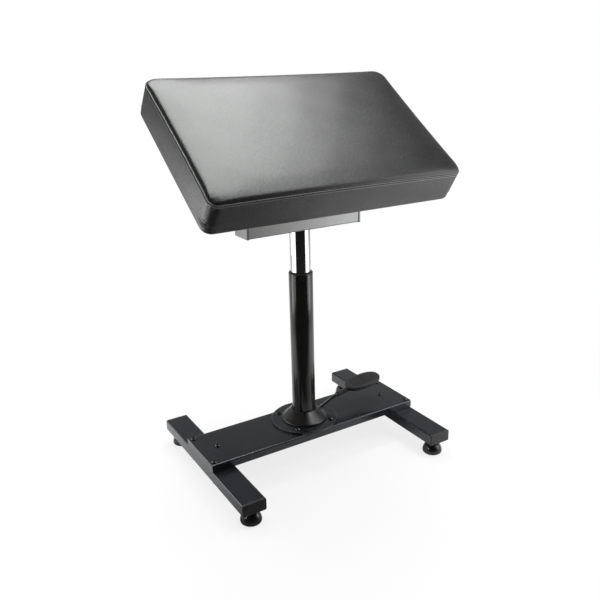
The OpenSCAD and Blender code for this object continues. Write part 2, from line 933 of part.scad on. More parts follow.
// Yoke
module yoke_bar() {
    color(satin_grey)
        difference() {
            translate([-cheek_x, 0, bar_z + bar_h / 2])
                rotate([90, 0, 90])
                    linear_extrude(2 * cheek_x) box_section(bar_d, bar_h, bar_wall, bar_corner);
            translate([0, 0, bar_z - cut]) cylinder(d = spring_stud_d + 2 * m8_play, h = bar_wall + 2 * cut);
            for (x = [-plug_bolt_x, plug_bolt_x])
                translate([x, 0, bar_z - cut]) cylinder(d = m6_d + 2 * m6_play, h = bar_wall + 2 * cut);
            translate([0, 0, bar_z + bar_h - bar_wall - cut])
                linear_extrude(bar_wall + 2 * cut) {
                    square([access_l - access_w, access_w], center = true);
                    for (s = [-1, 1])
                        translate([s * (access_l - access_w) / 2, 0]) circle(d = access_w);
                }
        }
}

module cheek(side) {
    color(satin_grey)
        difference() {
            plate_yz(side > 0 ? cheek_x : -yoke_w / 2, cheek_t) {
                translate([-cheek_d / 2, bar_z]) square([cheek_d, bar_h]);
                polygon([
                    [-cheek_d / 2, bar_z + bar_h], [cheek_d / 2, bar_z + bar_h],
                    [cheek_r, pivot_z], [-cheek_r, pivot_z]
                ]);
                translate([0, pivot_z]) circle(cheek_r);
            }
            translate([side * (cheek_x - cut), 0, pivot_z])
                rotate([0, side * 90, 0]) cylinder(d = pivot_d + 2 * seat_gap, h = cheek_t + 2 * cut);
            if (side > 0)
                translate([cheek_x - cut, 0, clamp_z])
                    rotate([0, 90, 0]) cylinder(d = clamp_d + 2 * run_gap, h = cheek_t + 2 * cut);
        }
}

module pivot_bolts() {
    reach = cheek_t + washer_t + rail_t + pivot_nut_h + tip;
    color(steel)
        for (s = [-1, 1])
            translate([s * yoke_w / 2, 0, pivot_z])
                rotate([0, s * 90, 0]) {
                    cylinder(d = pivot_head / cos(30), h = pivot_head_h, $fn = hex);
                    translate([0, 0, -reach]) cylinder(d = pivot_d, h = reach + pivot_head_h / 2);
                }
}

module pivot_nuts() {
    color(steel)
        for (s = [-1, 1])
            translate([s * (web_x - rail_t), 0, pivot_z])
                rotate([0, -s * 90, 0]) hex_nut(pivot_head, pivot_nut_h, pivot_d + 2 * seat_gap);
}

module friction_washers() {
    color(black_plastic)
        for (p = [[-1, pivot_z, pivot_d], [1, pivot_z, pivot_d], [1, clamp_z, clamp_d]])
            translate([p[0] * web_x, 0, p[1]])
                rotate([0, p[0] * 90, 0])
                    difference() {
                        cylinder(d = p[1] == clamp_z ? clamp_nut_w : washer_d, h = washer_t);
                        translate([0, 0, -cut]) cylinder(d = p[2] + 2 * run_gap, h = washer_t + 2 * cut);
                    }
}

// Tilt clamp
module clamp_nut() {
    color(steel)
        translate([web_x - rail_t - clamp_nut_t, 0, clamp_z])
            rotate([0, 90, 0])
                difference() {
                    translate([-clamp_nut_w / 2, -clamp_nut_w / 2, 0])
                        cube([clamp_nut_w, clamp_nut_w, clamp_nut_t]);
                    translate([0, 0, -cut]) cylinder(d = clamp_d + 2 * run_gap, h = clamp_nut_t + 2 * cut);
                }
}

module clamp_stud() {
    low = web_x - rail_t - clamp_nut_t - tip;
    color(steel)
        translate([low, 0, clamp_z])
            rotate([0, 90, 0]) cylinder(d = clamp_d, h = yoke_w / 2 + hub_t + knob_t / 2 - low);
}

module clamp_knob() {
    color(black_plastic)
        translate([yoke_w / 2, 0, clamp_z])
            rotate([0, 90, 0])
                difference() {
                    union() {
                        cylinder(r = hub_r, h = hub_t + cut);
                        translate([0, 0, hub_t])
                            linear_extrude(knob_t) {
                                circle(knob_r);
                                for (i = [0 : lobes - 1])
                                    rotate(360 * i / lobes) translate([lobe_at, 0]) circle(lobe_r);
                            }
                    }
                    translate([0, 0, -cut])
                        cylinder(d = clamp_d + 2 * seat_gap, h = hub_t + knob_t / 2 + cut);
                }
}

// Pad rails
module rail_web() {
    top = pad_drop + cover_t;
    polygon([
        [-rail_len / 2, top], [rail_len / 2, top], [rail_len / 2, top - web_edge],
        [rail_boss, 0], [-rail_boss, 0], [-rail_len / 2, top - web_edge]
    ]);
    circle(rail_boss);
}

// A wedge about the tilt axis, between two angles, that covers a radius
module wedge(low, high, r) {
    far = r / cos((high - low) / 4) + cut;
    polygon(concat(
        [[0, 0]],
        [for (i = [0 : 2]) let (a = low + (high - low) * i / 2) far * [cos(a), sin(a)]]
    ));
}

// Points of an arc about a centre, in equal steps
function arc(c, r, from, to, n) = [
    for (i = [0 : n]) let (a = from + (to - from) * i / n) c + r * [cos(a), sin(a)]
];

// A curved slot about the tilt axis with round ends
module arc_slot(r, half, low, high) {
    hub = [0, 0];
    polygon(concat(
        arc(hub, r + half, low, high, slot_steps),
        arc(r * [cos(high), sin(high)], half, high + slot_end, high + 180 - slot_end, end_steps),
        arc(hub, r - half, high, low, slot_steps),
        arc(r * [cos(low), sin(low)], half, low + 180 + slot_end, low + 360 - slot_end, end_steps)
    ));
}

module tilt_fan() {
    low = -90 - tilt_max;
    high = -90;
    difference() {
        intersection() {
            circle(slot_r + fan_edge);
            wedge(low - fan_margin, high + fan_margin, slot_r + fan_edge);
        }
        arc_slot(slot_r, clamp_d / 2 + slot_play_r, low, high);
        for (i = [0 : 2])
            rotate(low + (high - low) * i / 2) translate([fan_hole_at, 0]) circle(fan_hole_r);
    }
}

module pad_rail(side) {
    x = side > 0 ? web_x - rail_t : -web_x;
    flange_x = side > 0 ? web_x - rail_w : -web_x;
    color(black_paint)
        on_pad()
            difference() {
                union() {
                    plate_yz(x, rail_t) {
                        rail_web();
                        if (side > 0)
                            tilt_fan();
                    }
                    translate([flange_x, -rail_len / 2, pad_drop + cover_t - rail_t])
                        cube([rail_w, rail_len, rail_t]);
                }
                translate([x - cut, 0, 0])
                    rotate([0, 90, 0]) cylinder(d = pivot_d + 2 * run_gap, h = rail_t + 2 * cut);
                for (y = rail_screw_y)
                    translate([side * (web_x - rail_screw_in), y, pad_drop])
                        cylinder(d = m6_d + 2 * m6_play, h = 2 * rail_t, center = true);
            }
}

module rail_screws() {
    color(steel)
        on_pad()
            for (s = [-1, 1], y = rail_screw_y)
                translate([s * (web_x - rail_screw_in), y, pad_drop + cover_t - rail_t])
                    rotate([180, 0, 0])
                        button_bolt(m6_d, m6_head_d, m6_head_h, m6_key, rail_t + board_t - cover_t);
}

module board_nuts() {
    color(steel)
        on_pad()
            for (s = [-1, 1], y = rail_screw_y)
                translate([s * (web_x - rail_screw_in), y, pad_drop + cover_t])
                    difference() {
                        union() {
                            cylinder(d = tee_barrel, h = board_t);
                            translate([0, 0, board_t - tee_t]) cylinder(d = tee_d, h = tee_t);
                        }
                        translate([0, 0, -cut]) cylinder(d = m6_d + 2 * seat_gap, h = board_t + 2 * cut);
                    }
}

// Pad
module on_board() {
    on_pad() translate([0, pad_shift, pad_drop]) children();
}

module pad_board() {
    inset = edge_in + cover_t + soft_gap;
    color(plywood)
        on_board()
            difference() {
                translate([0, 0, cover_t])
                    linear_extrude(board_t)
                        rounded_rect(pad_w - 2 * inset, pad_d - 2 * inset, pad_corner - inset);
                for (s = [-1, 1], y = rail_screw_y)
                    translate([s * (web_x - rail_screw_in), y - pad_shift, 0]) {
                        cylinder(d = tee_barrel + 2 * seat_gap, h = board_top + cut);
                        translate([0, 0, board_top - tee_t - seat_gap])
                            cylinder(d = tee_d + 2 * seat_gap, h = board_t);
                    }
            }
}

module pad_foam() {
    rings = inner_profile(cover_t + soft_gap);
    n = len(rings);
    points = concat(
        [for (p = rings) each ring_at(p)],
        [[0, 0, pad_t + pad_crown - cover_t - soft_gap], [0, 0, board_top]]
    );
    faces = concat(
        fan_from(n * ring_n, 0),
        [for (i = [0 : n - 2]) each strip(i, i + 1)],
        fan_to(n - 1, n * ring_n + 1)
    );
    color(foam_grey) on_board() polyhedron(points, faces);
}

module pad_cover() {
    outer = outer_profile();
    inner = concat(
        inner_profile(cover_t),
        [
            low_ring(cover_t, edge_up + cover_t),
            [edge_in + cover_t, cover_t, pad_corner - edge_in - cover_t, 0],
            [edge_in + hem_w, cover_t, edge_up, 0]
        ]
    );
    n = len(outer);
    m = len(inner);
    points = concat(
        [for (p = outer) each ring_at(p)],
        [for (p = inner) each ring_at(p)],
        [[0, 0, pad_t + pad_crown], [0, 0, pad_t + pad_crown - cover_t]]
    );
    faces = concat(
        [for (i = [0 : n - 2]) each strip(i, i + 1)],
        fan_to(n - 1, (n + m) * ring_n),
        fan_from((n + m) * ring_n + 1, n),
        [for (i = [n : n + m - 2]) each strip(i, i + 1)],
        strip(n + m - 1, 0)
    );
    color(leather) on_board() polyhedron(points, faces);
}

base_beam();
foot_tube(-1);  // foot_tube_left
foot_tube(1);  // foot_tube_right
tube_cap(-1, -1);  // tube_cap_front_left
tube_cap(1, -1);  // tube_cap_front_right
tube_cap(-1, 1);  // tube_cap_back_left
tube_cap(1, 1);  // tube_cap_back_right
glide(-1, -1);  // glide_front_left
glide(1, -1);  // glide_front_right
glide(-1, 1);  // glide_back_left
glide(1, 1);  // glide_back_right
level_stud(-1, -1);  // level_stud_front_left
level_stud(1, -1);  // level_stud_front_right
level_stud(-1, 1);  // level_stud_back_left
level_stud(1, 1);  // level_stud_back_right
stud_inserts();
beam_bolts();
beam_spacers();
beam_nuts();
flange_plate();
flange_bolts();
flange_nuts();
cone_cover();
column_tube();
column_bush();
rod_anchor();
race(race_z);  // lower_race
bearing_balls();
race(upper_race_z);  // upper_race
rod_clip();
piston_rod();
piston();
release_pin();
lever_ears();
lever_pin();
foot_lever();
pedal_plate();
pedal_rubber();
post_tube();
post_plug();
post_ring();
gas_cylinder();
rod_guide();
head_fasteners();
yoke_bar();
cheek(-1);  // cheek_left
cheek(1);  // cheek_right
pivot_bolts();
pivot_nuts();
friction_washers();
clamp_nut();
clamp_stud();
clamp_knob();
pad_rail(-1);  // pad_rail_left
pad_rail(1);  // pad_rail_right
rail_screws();
board_nuts();
pad_board();
pad_foam();
pad_cover();
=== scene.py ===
import json
import math

import bpy
import numpy as np
from mathutils import Matrix, Vector
from mathutils.bvhtree import BVHTree

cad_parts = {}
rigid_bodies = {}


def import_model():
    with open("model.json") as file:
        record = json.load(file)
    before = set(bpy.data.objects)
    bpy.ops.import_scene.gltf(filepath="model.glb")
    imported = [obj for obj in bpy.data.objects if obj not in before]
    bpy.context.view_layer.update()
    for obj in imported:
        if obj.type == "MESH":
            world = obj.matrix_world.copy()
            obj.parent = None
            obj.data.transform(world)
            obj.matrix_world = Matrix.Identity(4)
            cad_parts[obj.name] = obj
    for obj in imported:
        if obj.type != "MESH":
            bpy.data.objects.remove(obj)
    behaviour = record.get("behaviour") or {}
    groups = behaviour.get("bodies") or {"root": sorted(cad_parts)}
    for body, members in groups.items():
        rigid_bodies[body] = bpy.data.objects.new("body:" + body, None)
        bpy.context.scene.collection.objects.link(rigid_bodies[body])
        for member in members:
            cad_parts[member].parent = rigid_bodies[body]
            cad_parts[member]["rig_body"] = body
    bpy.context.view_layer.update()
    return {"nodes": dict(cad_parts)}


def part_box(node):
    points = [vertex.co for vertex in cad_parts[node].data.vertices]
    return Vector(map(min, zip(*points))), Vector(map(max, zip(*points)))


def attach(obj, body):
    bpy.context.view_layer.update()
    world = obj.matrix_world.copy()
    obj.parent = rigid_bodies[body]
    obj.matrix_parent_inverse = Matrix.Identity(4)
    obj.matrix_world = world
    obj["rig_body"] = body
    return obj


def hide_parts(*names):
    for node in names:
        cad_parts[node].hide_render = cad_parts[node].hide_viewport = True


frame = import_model()
nodes = frame["nodes"]


# The base: one sheet folded into a flat beam and laid across two rectangular steel foot
# tubes. Cut, folded, then sprayed with black powder and baked, which leaves a satin skin
# with a fine orange peel, rounded over every edge.
def add(tree, kind, inputs=None, **settings):
    """A shader node of one kind, with its settings, its input values and its wires."""
    node = tree.nodes.new("ShaderNode" + kind)
    for key, value in settings.items():
        setattr(node, key, value)
    for key, value in (inputs or {}).items():
        if isinstance(value, bpy.types.NodeSocket):
            tree.links.new(value, node.inputs[key])
        else:
            node.inputs[key].default_value = value
    return node


def finish(name, colour, rough, metal=0.0, specular=0.5):
    """A new material and its shader: what is even all over stands on the shader's own sockets."""
    material = bpy.data.materials.new(name)
    material.use_nodes = True
    tree = material.node_tree
    shader = tree.nodes["Principled BSDF"]
    shader.inputs["Base Color"].default_value = (*colour, 1)
    shader.inputs["Roughness"].default_value = rough
    shader.inputs["Metallic"].default_value = metal
    shader.inputs["Specular IOR Level"].default_value = specular
    return material, tree, shader


def lie(tree, centre=(0, 0, 0), turn=(0, 0, 0), stretch=(1, 1, 1)):
    """Object coordinates in metres, seen from a centre, turned and stretched to lie with a piece."""
    spot = add(tree, "TexCoord").outputs["Object"]
    values = {"Vector": spot, "Location": centre, "Rotation": turn, "Scale": stretch}
    return add(tree, "Mapping", values, vector_type="TEXTURE").outputs["Vector"]


def cloud(tree, spot, size, detail=2.0, twist=0.0):
    """Soft noise whose lumps are about one size across, in metres."""
    values = {"Vector": spot, "Scale": 1 / size, "Detail": detail, "Distortion": twist}
    return add(tree, "TexNoise", values).outputs["Fac"]


def spread(tree, value, low, high, start=0.3, end=0.7):
    """Stretches a pattern from start..end onto low..high."""
    values = {"Value": value, "From Min": start, "From Max": end, "To Min": low, "To Max": high}
    return add(tree, "MapRange", values).outputs["Result"]


def sums(tree, operation, first, second=0.0):
    """One sum on two numbers or patterns."""
    node = add(tree, "Math", operation=operation)
    for socket, value in zip(node.inputs, (first, second)):
        if isinstance(value, bpy.types.NodeSocket):
            tree.links.new(value, socket)
        else:
            socket.default_value = value
    return node.outputs["Value"]


def roughen(tree, shader, pattern):
    """Gives a surface a pattern of roughness."""
    tree.links.new(pattern, shader.inputs["Roughness"])


def relief(tree, shader, height, depth, edge=0.0):
    """Raises a pattern by a depth in metres, on edges that look rounded by a radius."""
    bump = add(tree, "Bump", {"Height": height, "Distance": depth})
    if edge:
        soft = add(tree, "Bevel", {"Radius": edge}, samples=6)
        tree.links.new(soft.outputs["Normal"], bump.inputs["Normal"])
    tree.links.new(bump.outputs["Normal"], shader.inputs["Normal"])


def tones(tree, shader, pattern, dark, light):
    """Colours a surface between two tones by a pattern. The dark one may be an earlier mix."""
    mix = add(tree, "Mix", data_type="RGBA")
    tree.links.new(pattern, mix.inputs["Factor"])
    for socket, tone in zip(mix.inputs[6:8], (dark, light)):
        if isinstance(tone, bpy.types.NodeSocket):
            tree.links.new(tone, socket)
        else:
            socket.default_value = (*tone, 1)
    tree.links.new(mix.outputs[2], shader.inputs["Base Color"])
    return mix.outputs[2]


def sharp_edge_mask(tree, radius):
    """One where an edge is sharp, zero on a flat: how far the rounded normal leans from the true
    one, from a cosine of 0.97 to one of 0.75."""
    soft = add(tree, "Bevel", {"Radius": radius}, samples=6)
    true = add(tree, "NewGeometry").outputs["Normal"]
    dot = add(tree, "VectorMath", operation="DOT_PRODUCT")
    tree.links.new(soft.outputs["Normal"], dot.inputs[0])
    tree.links.new(true, dot.inputs[1])
    return spread(tree, dot.outputs["Value"], 1, 0, 0.75, 0.97)


def dress(material, *names):
    """Gives CAD nodes a finish in every slot of their objects."""
    for name in names:
        for slot in nodes[name].material_slots:
            slot.material = material


def new_mesh(name, points, faces, extra=()):
    """A mesh object from points and rows of faces, shaded smooth."""
    mesh = bpy.data.meshes.new(name)
    rows = faces.tolist() if isinstance(faces, np.ndarray) else list(faces)
    mesh.from_pydata(np.asarray(points).tolist(), [], rows + list(extra))
    mesh.update()
    mesh.polygons.foreach_set("use_smooth", np.ones(len(mesh.polygons), bool))
    thing = bpy.data.objects.new(name, mesh)
    bpy.context.scene.collection.objects.link(thing)
    return thing


def points_of(mesh):
    """A mesh's points as rows."""
    flat = np.zeros(len(mesh.vertices) * 3)
    mesh.vertices.foreach_get("co", flat)
    return flat.reshape(-1, 3)


SMOOTH_ANGLE = math.radians(32)
MICROMETRES = 1e6


def smoothed(material, *names):
    """Smooth copies that stand for CAD nodes. Points less than a micrometre apart are merged, faces
    that meet at less than the smooth angle are shaded as one curve, and larger faces count for more."""
    for name in names:
        mesh = nodes[name].data
        points = points_of(mesh)
        keys = np.round(points * MICROMETRES).astype(np.int64)
        first, back = np.unique(keys, axis=0, return_index=True, return_inverse=True)[1:]
        corners = np.zeros(len(mesh.loops), np.int64)
        mesh.loops.foreach_get("vertex_index", corners)
        faces = back.ravel()[corners].reshape(-1, 3)
        whole = (faces != np.roll(faces, 1, 1)).all(1)
        piece = new_mesh(name + "_smooth", points[first], faces[whole])
        piece.data.set_sharp_from_angle(angle=SMOOTH_ANGLE)
        even = piece.modifiers.new("even_normals", "WEIGHTED_NORMAL")
        even.mode = "FACE_AREA_WITH_ANGLE"
        even.keep_sharp = True
        piece.data.materials.append(material)
        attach(piece, nodes[name]["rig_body"])
        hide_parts(name)


def powder_coat():
    """Satin black powder coat, a touch blue in its shine: orange peel of 1.5 mm lumps, faint dust,
    and at sharp edges duller from wear and paler, partly from wear and partly as a painted highlight."""
    black = (0.011, 0.012, 0.0145)
    worn_and_highlit_black = (0.026, 0.027, 0.030)
    edge_radius = 0.0016
    material, tree, shader = finish("satin_black_powder_coat", black, 0.21, specular=0.68)
    shader.inputs["Specular Tint"].default_value = (0.91, 0.95, 1.0, 1)
    spot = lie(tree)
    peel = cloud(tree, spot, size=0.0015, detail=3)
    dust = cloud(tree, spot, size=0.06, detail=4)
    worn_and_highlit = sharp_edge_mask(tree, edge_radius)
    # Sharp edges are painted paler: partly wear, partly a painted highlight for the light a rounded
    # edge catches.
    tones(tree, shader, worn_and_highlit, black, worn_and_highlit_black)
    rough = sums(tree, "ADD", spread(tree, dust, 0.17, 0.25), spread(tree, peel, -0.03, 0.03))
    rough = sums(tree, "ADD", rough, sums(tree, "MULTIPLY", worn_and_highlit, 0.16))
    roughen(tree, shader, rough)
    relief(tree, shader, peel, depth=0.00005, edge=edge_radius)
    return material


satin_black = powder_coat()
smoothed(satin_black, "base_beam", "foot_tube_left", "foot_tube_right")


# Four plugs close the ends of the foot tubes. Moulded from black polypropylene with a
# sparked texture, and pushed into the tubes until their rims stop on the ends.
def moulded_plastic():
    """Black moulding with a sparked texture of 0.35 mm pits, paler at the edges: wear and a painted
    highlight.
    """
    material, tree, shader = finish("sparked_black_plastic", (0.014, 0.014, 0.015), 0.42)
    spot = lie(tree)
    edge_radius = 0.0015
    pits = cloud(tree, spot, size=0.00035, detail=1)
    rub = cloud(tree, spot, size=0.02, detail=4)
    roughen(tree, shader, spread(tree, rub, 0.36, 0.48))
    # Sharp edges are painted paler: partly wear, partly a painted highlight.
    tones(tree, shader, sharp_edge_mask(tree, edge_radius), (0.013, 0.013, 0.014), (0.05, 0.05, 0.052))
    relief(tree, shader, pits, depth=0.00004, edge=edge_radius)
    return material


sparked_plastic = moulded_plastic()
ends = [y + x for y in ("front_", "back_") for x in ("left", "right")]
smoothed(sparked_plastic, *["tube_cap_" + end for end in ends])


# Four domed levelling feet. Moulded from glossy black plastic on a steel stud, which
# screws into an insert in the tube's underside.
def polished_plastic():
    """Glossy black moulding: nearly flat, with a faint long wave from the mould and some floor dust."""
    material, tree, shader = finish("polished_black_plastic", (0.010, 0.010, 0.011), 0.18)
    spot = lie(tree)
    wave = cloud(tree, spot, size=0.009, detail=1)
    dust = cloud(tree, spot, size=0.004, detail=5)
    roughen(tree, shader, spread(tree, dust, 0.15, 0.24, start=0.4, end=0.8))
    relief(tree, shader, wave, depth=0.00006, edge=0.001)
    return material


glossy_plastic = polished_plastic()
smoothed(glossy_plastic, *["glide_" + end for end in ends])


# Studs, inserts, nuts and spacers. Turned and threaded steel with a dull zinc plate, never
# painted. The threads are rings of the real pitch, drawn as relief on the plain shanks.
THREAD_PITCH = 0.0015
THREAD_DEPTH = 0.9


def zinc_plate(name, pitch=0.0):
    """Dull zinc: grey spangle of 2 mm, and with a pitch, thread rings along the upright."""
    material, tree, shader = finish(name, (0.52, 0.53, 0.54), 0.34, metal=1.0)
    spot = lie(tree)
    spangle = cloud(tree, spot, size=0.002, detail=3)
    stain = cloud(tree, spot, size=0.015, detail=4)
    tones(tree, shader, spread(tree, stain, 0, 1), (0.42, 0.43, 0.44), (0.60, 0.60, 0.59))
    roughen(tree, shader, spread(tree, spangle, 0.26, 0.42))
    if pitch:
        up = add(tree, "SeparateXYZ", {"Vector": spot}).outputs["Z"]
        turns = sums(tree, "PINGPONG", sums(tree, "DIVIDE", up, pitch), 0.5)
        relief(tree, shader, turns, depth=pitch * THREAD_DEPTH)
    else:
        relief(tree, shader, spangle, depth=0.00002, edge=0.0006)
    return material


zinc = zinc_plate("dull_zinc_plate")
threaded_zinc = zinc_plate("threaded_zinc_plate", THREAD_PITCH)
smoothed(threaded_zinc, *["level_stud_" + end for end in ends])
smoothed(zinc, "stud_inserts", "beam_nuts", "beam_spacers", "flange_nuts")
dress(zinc, "head_fasteners", "rail_screws", "board_nuts", "rod_clip", "lever_pin")


# Button-head bolts through beam and tubes, and through the flange. Cold-headed steel with
# a black oxide skin, oiled, so their domes shine and their sockets stay dark.
def black_oxide():
    """Oiled black oxide: the steel's own shine, dimmed to a thirteenth by the skin, under oil."""
    material, tree, shader = finish("oiled_black_oxide", (0.075, 0.075, 0.078), 0.12, metal=1.0)
    spot = lie(tree)
    oil = cloud(tree, spot, size=0.003, detail=4)
    roughen(tree, shader, spread(tree, oil, 0.09, 0.18))
    relief(tree, shader, oil, depth=0.00003, edge=0.0005)
    return material


oxide = black_oxide()
smoothed(oxide, "beam_bolts", "flange_bolts")


# The flange, the column and the spun cone that hides the lever's pivot between them. The
# column is drawn tube in gloss black enamel, the cone is spun sheet in duller enamel, and the
# flange is plate under the base's black powder.
def gloss_enamel(name, rough):
    """Black enamel, a touch warm: a long shallow wave, and dust nibs far apart."""
    material, tree, shader = finish(name, (0.0085, 0.0080, 0.0074), rough, specular=0.6)
    spot = lie(tree)
    wave = cloud(tree, spot, size=0.006, detail=2)
    haze = cloud(tree, spot, size=0.05, detail=4)
    nib = add(tree, "TexVoronoi", {"Vector": spot, "Scale": 90.0}).outputs["Distance"]
    nibs = spread(tree, nib, 1, 0, start=0.0, end=0.035)
    roughen(tree, shader, spread(tree, haze, rough * 0.85, rough * 1.3))
    height = sums(tree, "ADD", wave, sums(tree, "MULTIPLY", nibs, 0.4))
    relief(tree, shader, height, depth=0.00007, edge=0.0009)
    return material


enamel = gloss_enamel("gloss_black_enamel", 0.11)
dull_enamel = gloss_enamel("semi_gloss_black_enamel", 0.26)
smoothed(enamel, "column_tube")
smoothed(satin_black, "flange_plate")
smoothed(dull_enamel, "cone_cover")


# The bush at the column's rim and the ring on the post's foot, which the post slides in,
# and the washers that drag on the tilting rails. Turned from black acetal.
def turned_acetal():
    """Black acetal with fine turning rings 0.25 mm apart, up the height."""
    material, tree, shader = finish("turned_black_acetal", (0.020, 0.020, 0.021), 0.32)
    spot = lie(tree)
    up = add(tree, "SeparateXYZ", {"Vector": spot}).outputs["Z"]
    ring_pitch = 0.00025
    rings = sums(tree, "PINGPONG", sums(tree, "DIVIDE", up, ring_pitch), 0.5)
    blot = cloud(tree, spot, size=0.01, detail=3)
    roughen(tree, shader, spread(tree, blot, 0.28, 0.38))
    relief(tree, shader, rings, depth=0.00003, edge=0.0006)
    return material


acetal = turned_acetal()
smoothed(acetal, "column_bush", "friction_washers")
dress(acetal, "post_ring", "rod_guide")


# The lift: a locking gas spring under the post, its rod held in an anchor disc on a thrust
# bearing. Ground and honed steel, hidden inside the column and the cone.
def ground_steel():
    """Ground steel: bright, with rings of fine scratches round the upright axis."""
    material, tree, shader = finish("ground_steel", (0.62, 0.62, 0.63), 0.18, metal=1.0)
    scratch = cloud(tree, lie(tree, stretch=(0.02, 0.02, 0.0004)), size=1.0, detail=2)
    roughen(tree, shader, spread(tree, scratch, 0.12, 0.30))
    relief(tree, shader, scratch, depth=0.00001, edge=0.0004)
    return material


ground = ground_steel()
dress(ground, "piston_rod", "piston", "release_pin", "bearing_balls", "lower_race", "upper_race")
dress(satin_black, "gas_cylinder", "rod_anchor", "lever_ears")


# The foot lever: a bent steel bar painted black, with a ribbed rubber sleeve on its end
# and an oval pedal of moulded rubber over a steel plate.
def moulded_rubber():
    """Black rubber: matt, with a pale bloom in patches that are duller too, and a fine skin."""
    material, tree, shader = finish("moulded_black_rubber", (0.012, 0.012, 0.013), 0.5, specular=0.4)
    spot = lie(tree)
    bloom = cloud(tree, spot, size=0.012, detail=4)
    skin = cloud(tree, spot, size=0.0005, detail=2)
    tones(tree, shader, spread(tree, bloom, 0, 1), (0.009, 0.009, 0.010), (0.017, 0.017, 0.0185))
    roughen(tree, shader, spread(tree, bloom, 0.44, 0.56))
    relief(tree, shader, skin, depth=0.00006, edge=0.0012)
    return material


rubber = moulded_rubber()
smoothed(rubber, "pedal_rubber")
smoothed(satin_black, "foot_lever", "pedal_plate")

SLEEVE_START = (0.1030, 0.0, 0.1275)
SLEEVE_END = (0.1410, 0.0, 0.1342)
SLEEVE_RADIUS = 0.0059
SLEEVE_SIDES = 40
SLEEVE_RINGS = 177
SLEEVE_CREASE = math.radians(50)
RIB_PITCH = 0.0034
RIB_HEIGHT = 0.0007
LIP_LONG = 0.0012
LIP_DROP = 0.0007


def tube_faces(number):
    """Faces for rings of numbered points: four-sided ones between neighbouring rings, and one face
    that closes each end."""
    low, high = number[:-1], number[1:]
    quads = np.stack([low, np.roll(low, -1, 1), np.roll(high, -1, 1), high], -1)
    return quads.reshape(-1, 4), np.stack([number[0][::-1], number[-1]])


def tube(middles, radii, first, second, sides):
    """A closed round body: rings of points about its middles, each with its radius, in the plane of
    two directions."""
    angle = np.arange(sides) / sides * 2 * math.pi
    ring = np.cos(angle)[:, None] * first + np.sin(angle)[:, None] * second
    points = middles[:, None, :] + ring[None] * radii[:, None, None]
    quads, caps = tube_faces(np.arange(len(middles) * sides).reshape(-1, sides))
    return points.reshape(-1, 3), quads.tolist() + caps.tolist()


def ribbed_sleeve():
    """A tube on a straight line. Its ribs are the square root of a half sine over each pitch, and
    they are lower at the mouth, whose lip is a quarter round."""
    start, end = np.array(SLEEVE_START), np.array(SLEEVE_END)
    length = math.dist(SLEEVE_START, SLEEVE_END)
    share = np.linspace(0, 1, SLEEVE_RINGS)
    wave = np.sqrt(np.abs(np.sin(math.pi * share * length / RIB_PITCH)))
    lip = np.clip(share * length / LIP_LONG, 0.02, 1)
    radius = SLEEVE_RADIUS + RIB_HEIGHT * wave * lip - LIP_DROP * (1 - np.sqrt(1 - (1 - lip) ** 2))
    run = (end - start) / np.linalg.norm(end - start)
    side = np.cross(run, (0.0, 0.0, 1.0))
    side = side / np.linalg.norm(side)
    middles = start + share[:, None] * (end - start)
    return tube(middles, radius, side, np.cross(run, side), SLEEVE_SIDES)


sleeve = new_mesh("lever_sleeve", *ribbed_sleeve())
sleeve.data.set_sharp_from_angle(angle=SLEEVE_CREASE)
sleeve.data.materials.append(rubber)
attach(sleeve, "pedal")


# The sliding post: drawn steel tube, polished and chrome plated, and closed at its top by
# a turned plug that the cross bar is screwed to.
def bright_chrome():
    """Bright chrome: a mirror with faint upright polishing lines and a trace of haze."""
    material, tree, shader = finish("bright_chrome", (0.80, 0.81, 0.82), 0.05, metal=1.0)
    lines = cloud(tree, lie(tree, stretch=(0.0006, 0.0006, 0.08)), size=1.0, detail=2)
    haze = cloud(tree, lie(tree), size=0.03, detail=4)
    roughen(tree, shader, spread(tree, haze, 0.035, 0.075))
    relief(tree, shader, lines, depth=0.000006, edge=0.0006)
    return material


chrome = bright_chrome()
smoothed(chrome, "post_tube")
dress(zinc, "post_plug")


# The yoke: a cross bar of box section with a flat cheek welded to each end. Steel tube and
# laser-cut plate, sprayed a satin silver grey after welding.
# Where the painted shade above the bar's foot starts and ends, measured up from the foot.
FOOT_SHADE_FROM = 0.0010
FOOT_SHADE_TO = 0.0032


def silver_paint(name, level, edge, width, foot=0.0):
    """Satin silver grey: fine metal flake of 0.4 mm under a dull clear coat, at a level of
    brightness. It is painted dark, to one tone, for a width along sharp edges, partly dark cut edges
    and partly painted shade, and where a foot height is given, just above it too, as painted shade on
    the round lower corner."""
    material, tree, shader = finish(name, (0.36, 0.365, 0.37), 0.40, metal=0.65)
    spot = lie(tree)
    flake = add(tree, "TexVoronoi", {"Vector": spot, "Scale": 2500.0}).outputs["Color"]
    glint = add(tree, "SeparateColor", {"Color": flake}).outputs[0]
    cloudy = cloud(tree, spot, size=0.03, detail=3)
    dark = np.array((0.29, 0.295, 0.298)) * level
    light = np.array((0.43, 0.436, 0.438)) * level
    paint = tones(tree, shader, glint, dark, light)
    # Sharp edges are darkened: partly dark cut edges, partly painted shade.
    dark_edge_and_painted_shade = sharp_edge_mask(tree, width)
    if foot:
        up = add(tree, "SeparateXYZ", {"Vector": spot}).outputs["Z"]
        # Painted shade: a dark line just above the bar's foot, along its round lower corner.
        painted_foot_shade = spread(tree, up, 1, 0, start=foot + FOOT_SHADE_FROM, end=foot + FOOT_SHADE_TO)
        dark_edge_and_painted_shade = sums(tree, "MAXIMUM", dark_edge_and_painted_shade, painted_foot_shade)
    tones(tree, shader, dark_edge_and_painted_shade, paint, (edge, edge, edge))
    roughen(tree, shader, spread(tree, cloudy, 0.36, 0.46))
    relief(tree, shader, cloud(tree, spot, size=0.0012, detail=3), depth=0.00003, edge=0.0012)
    return material


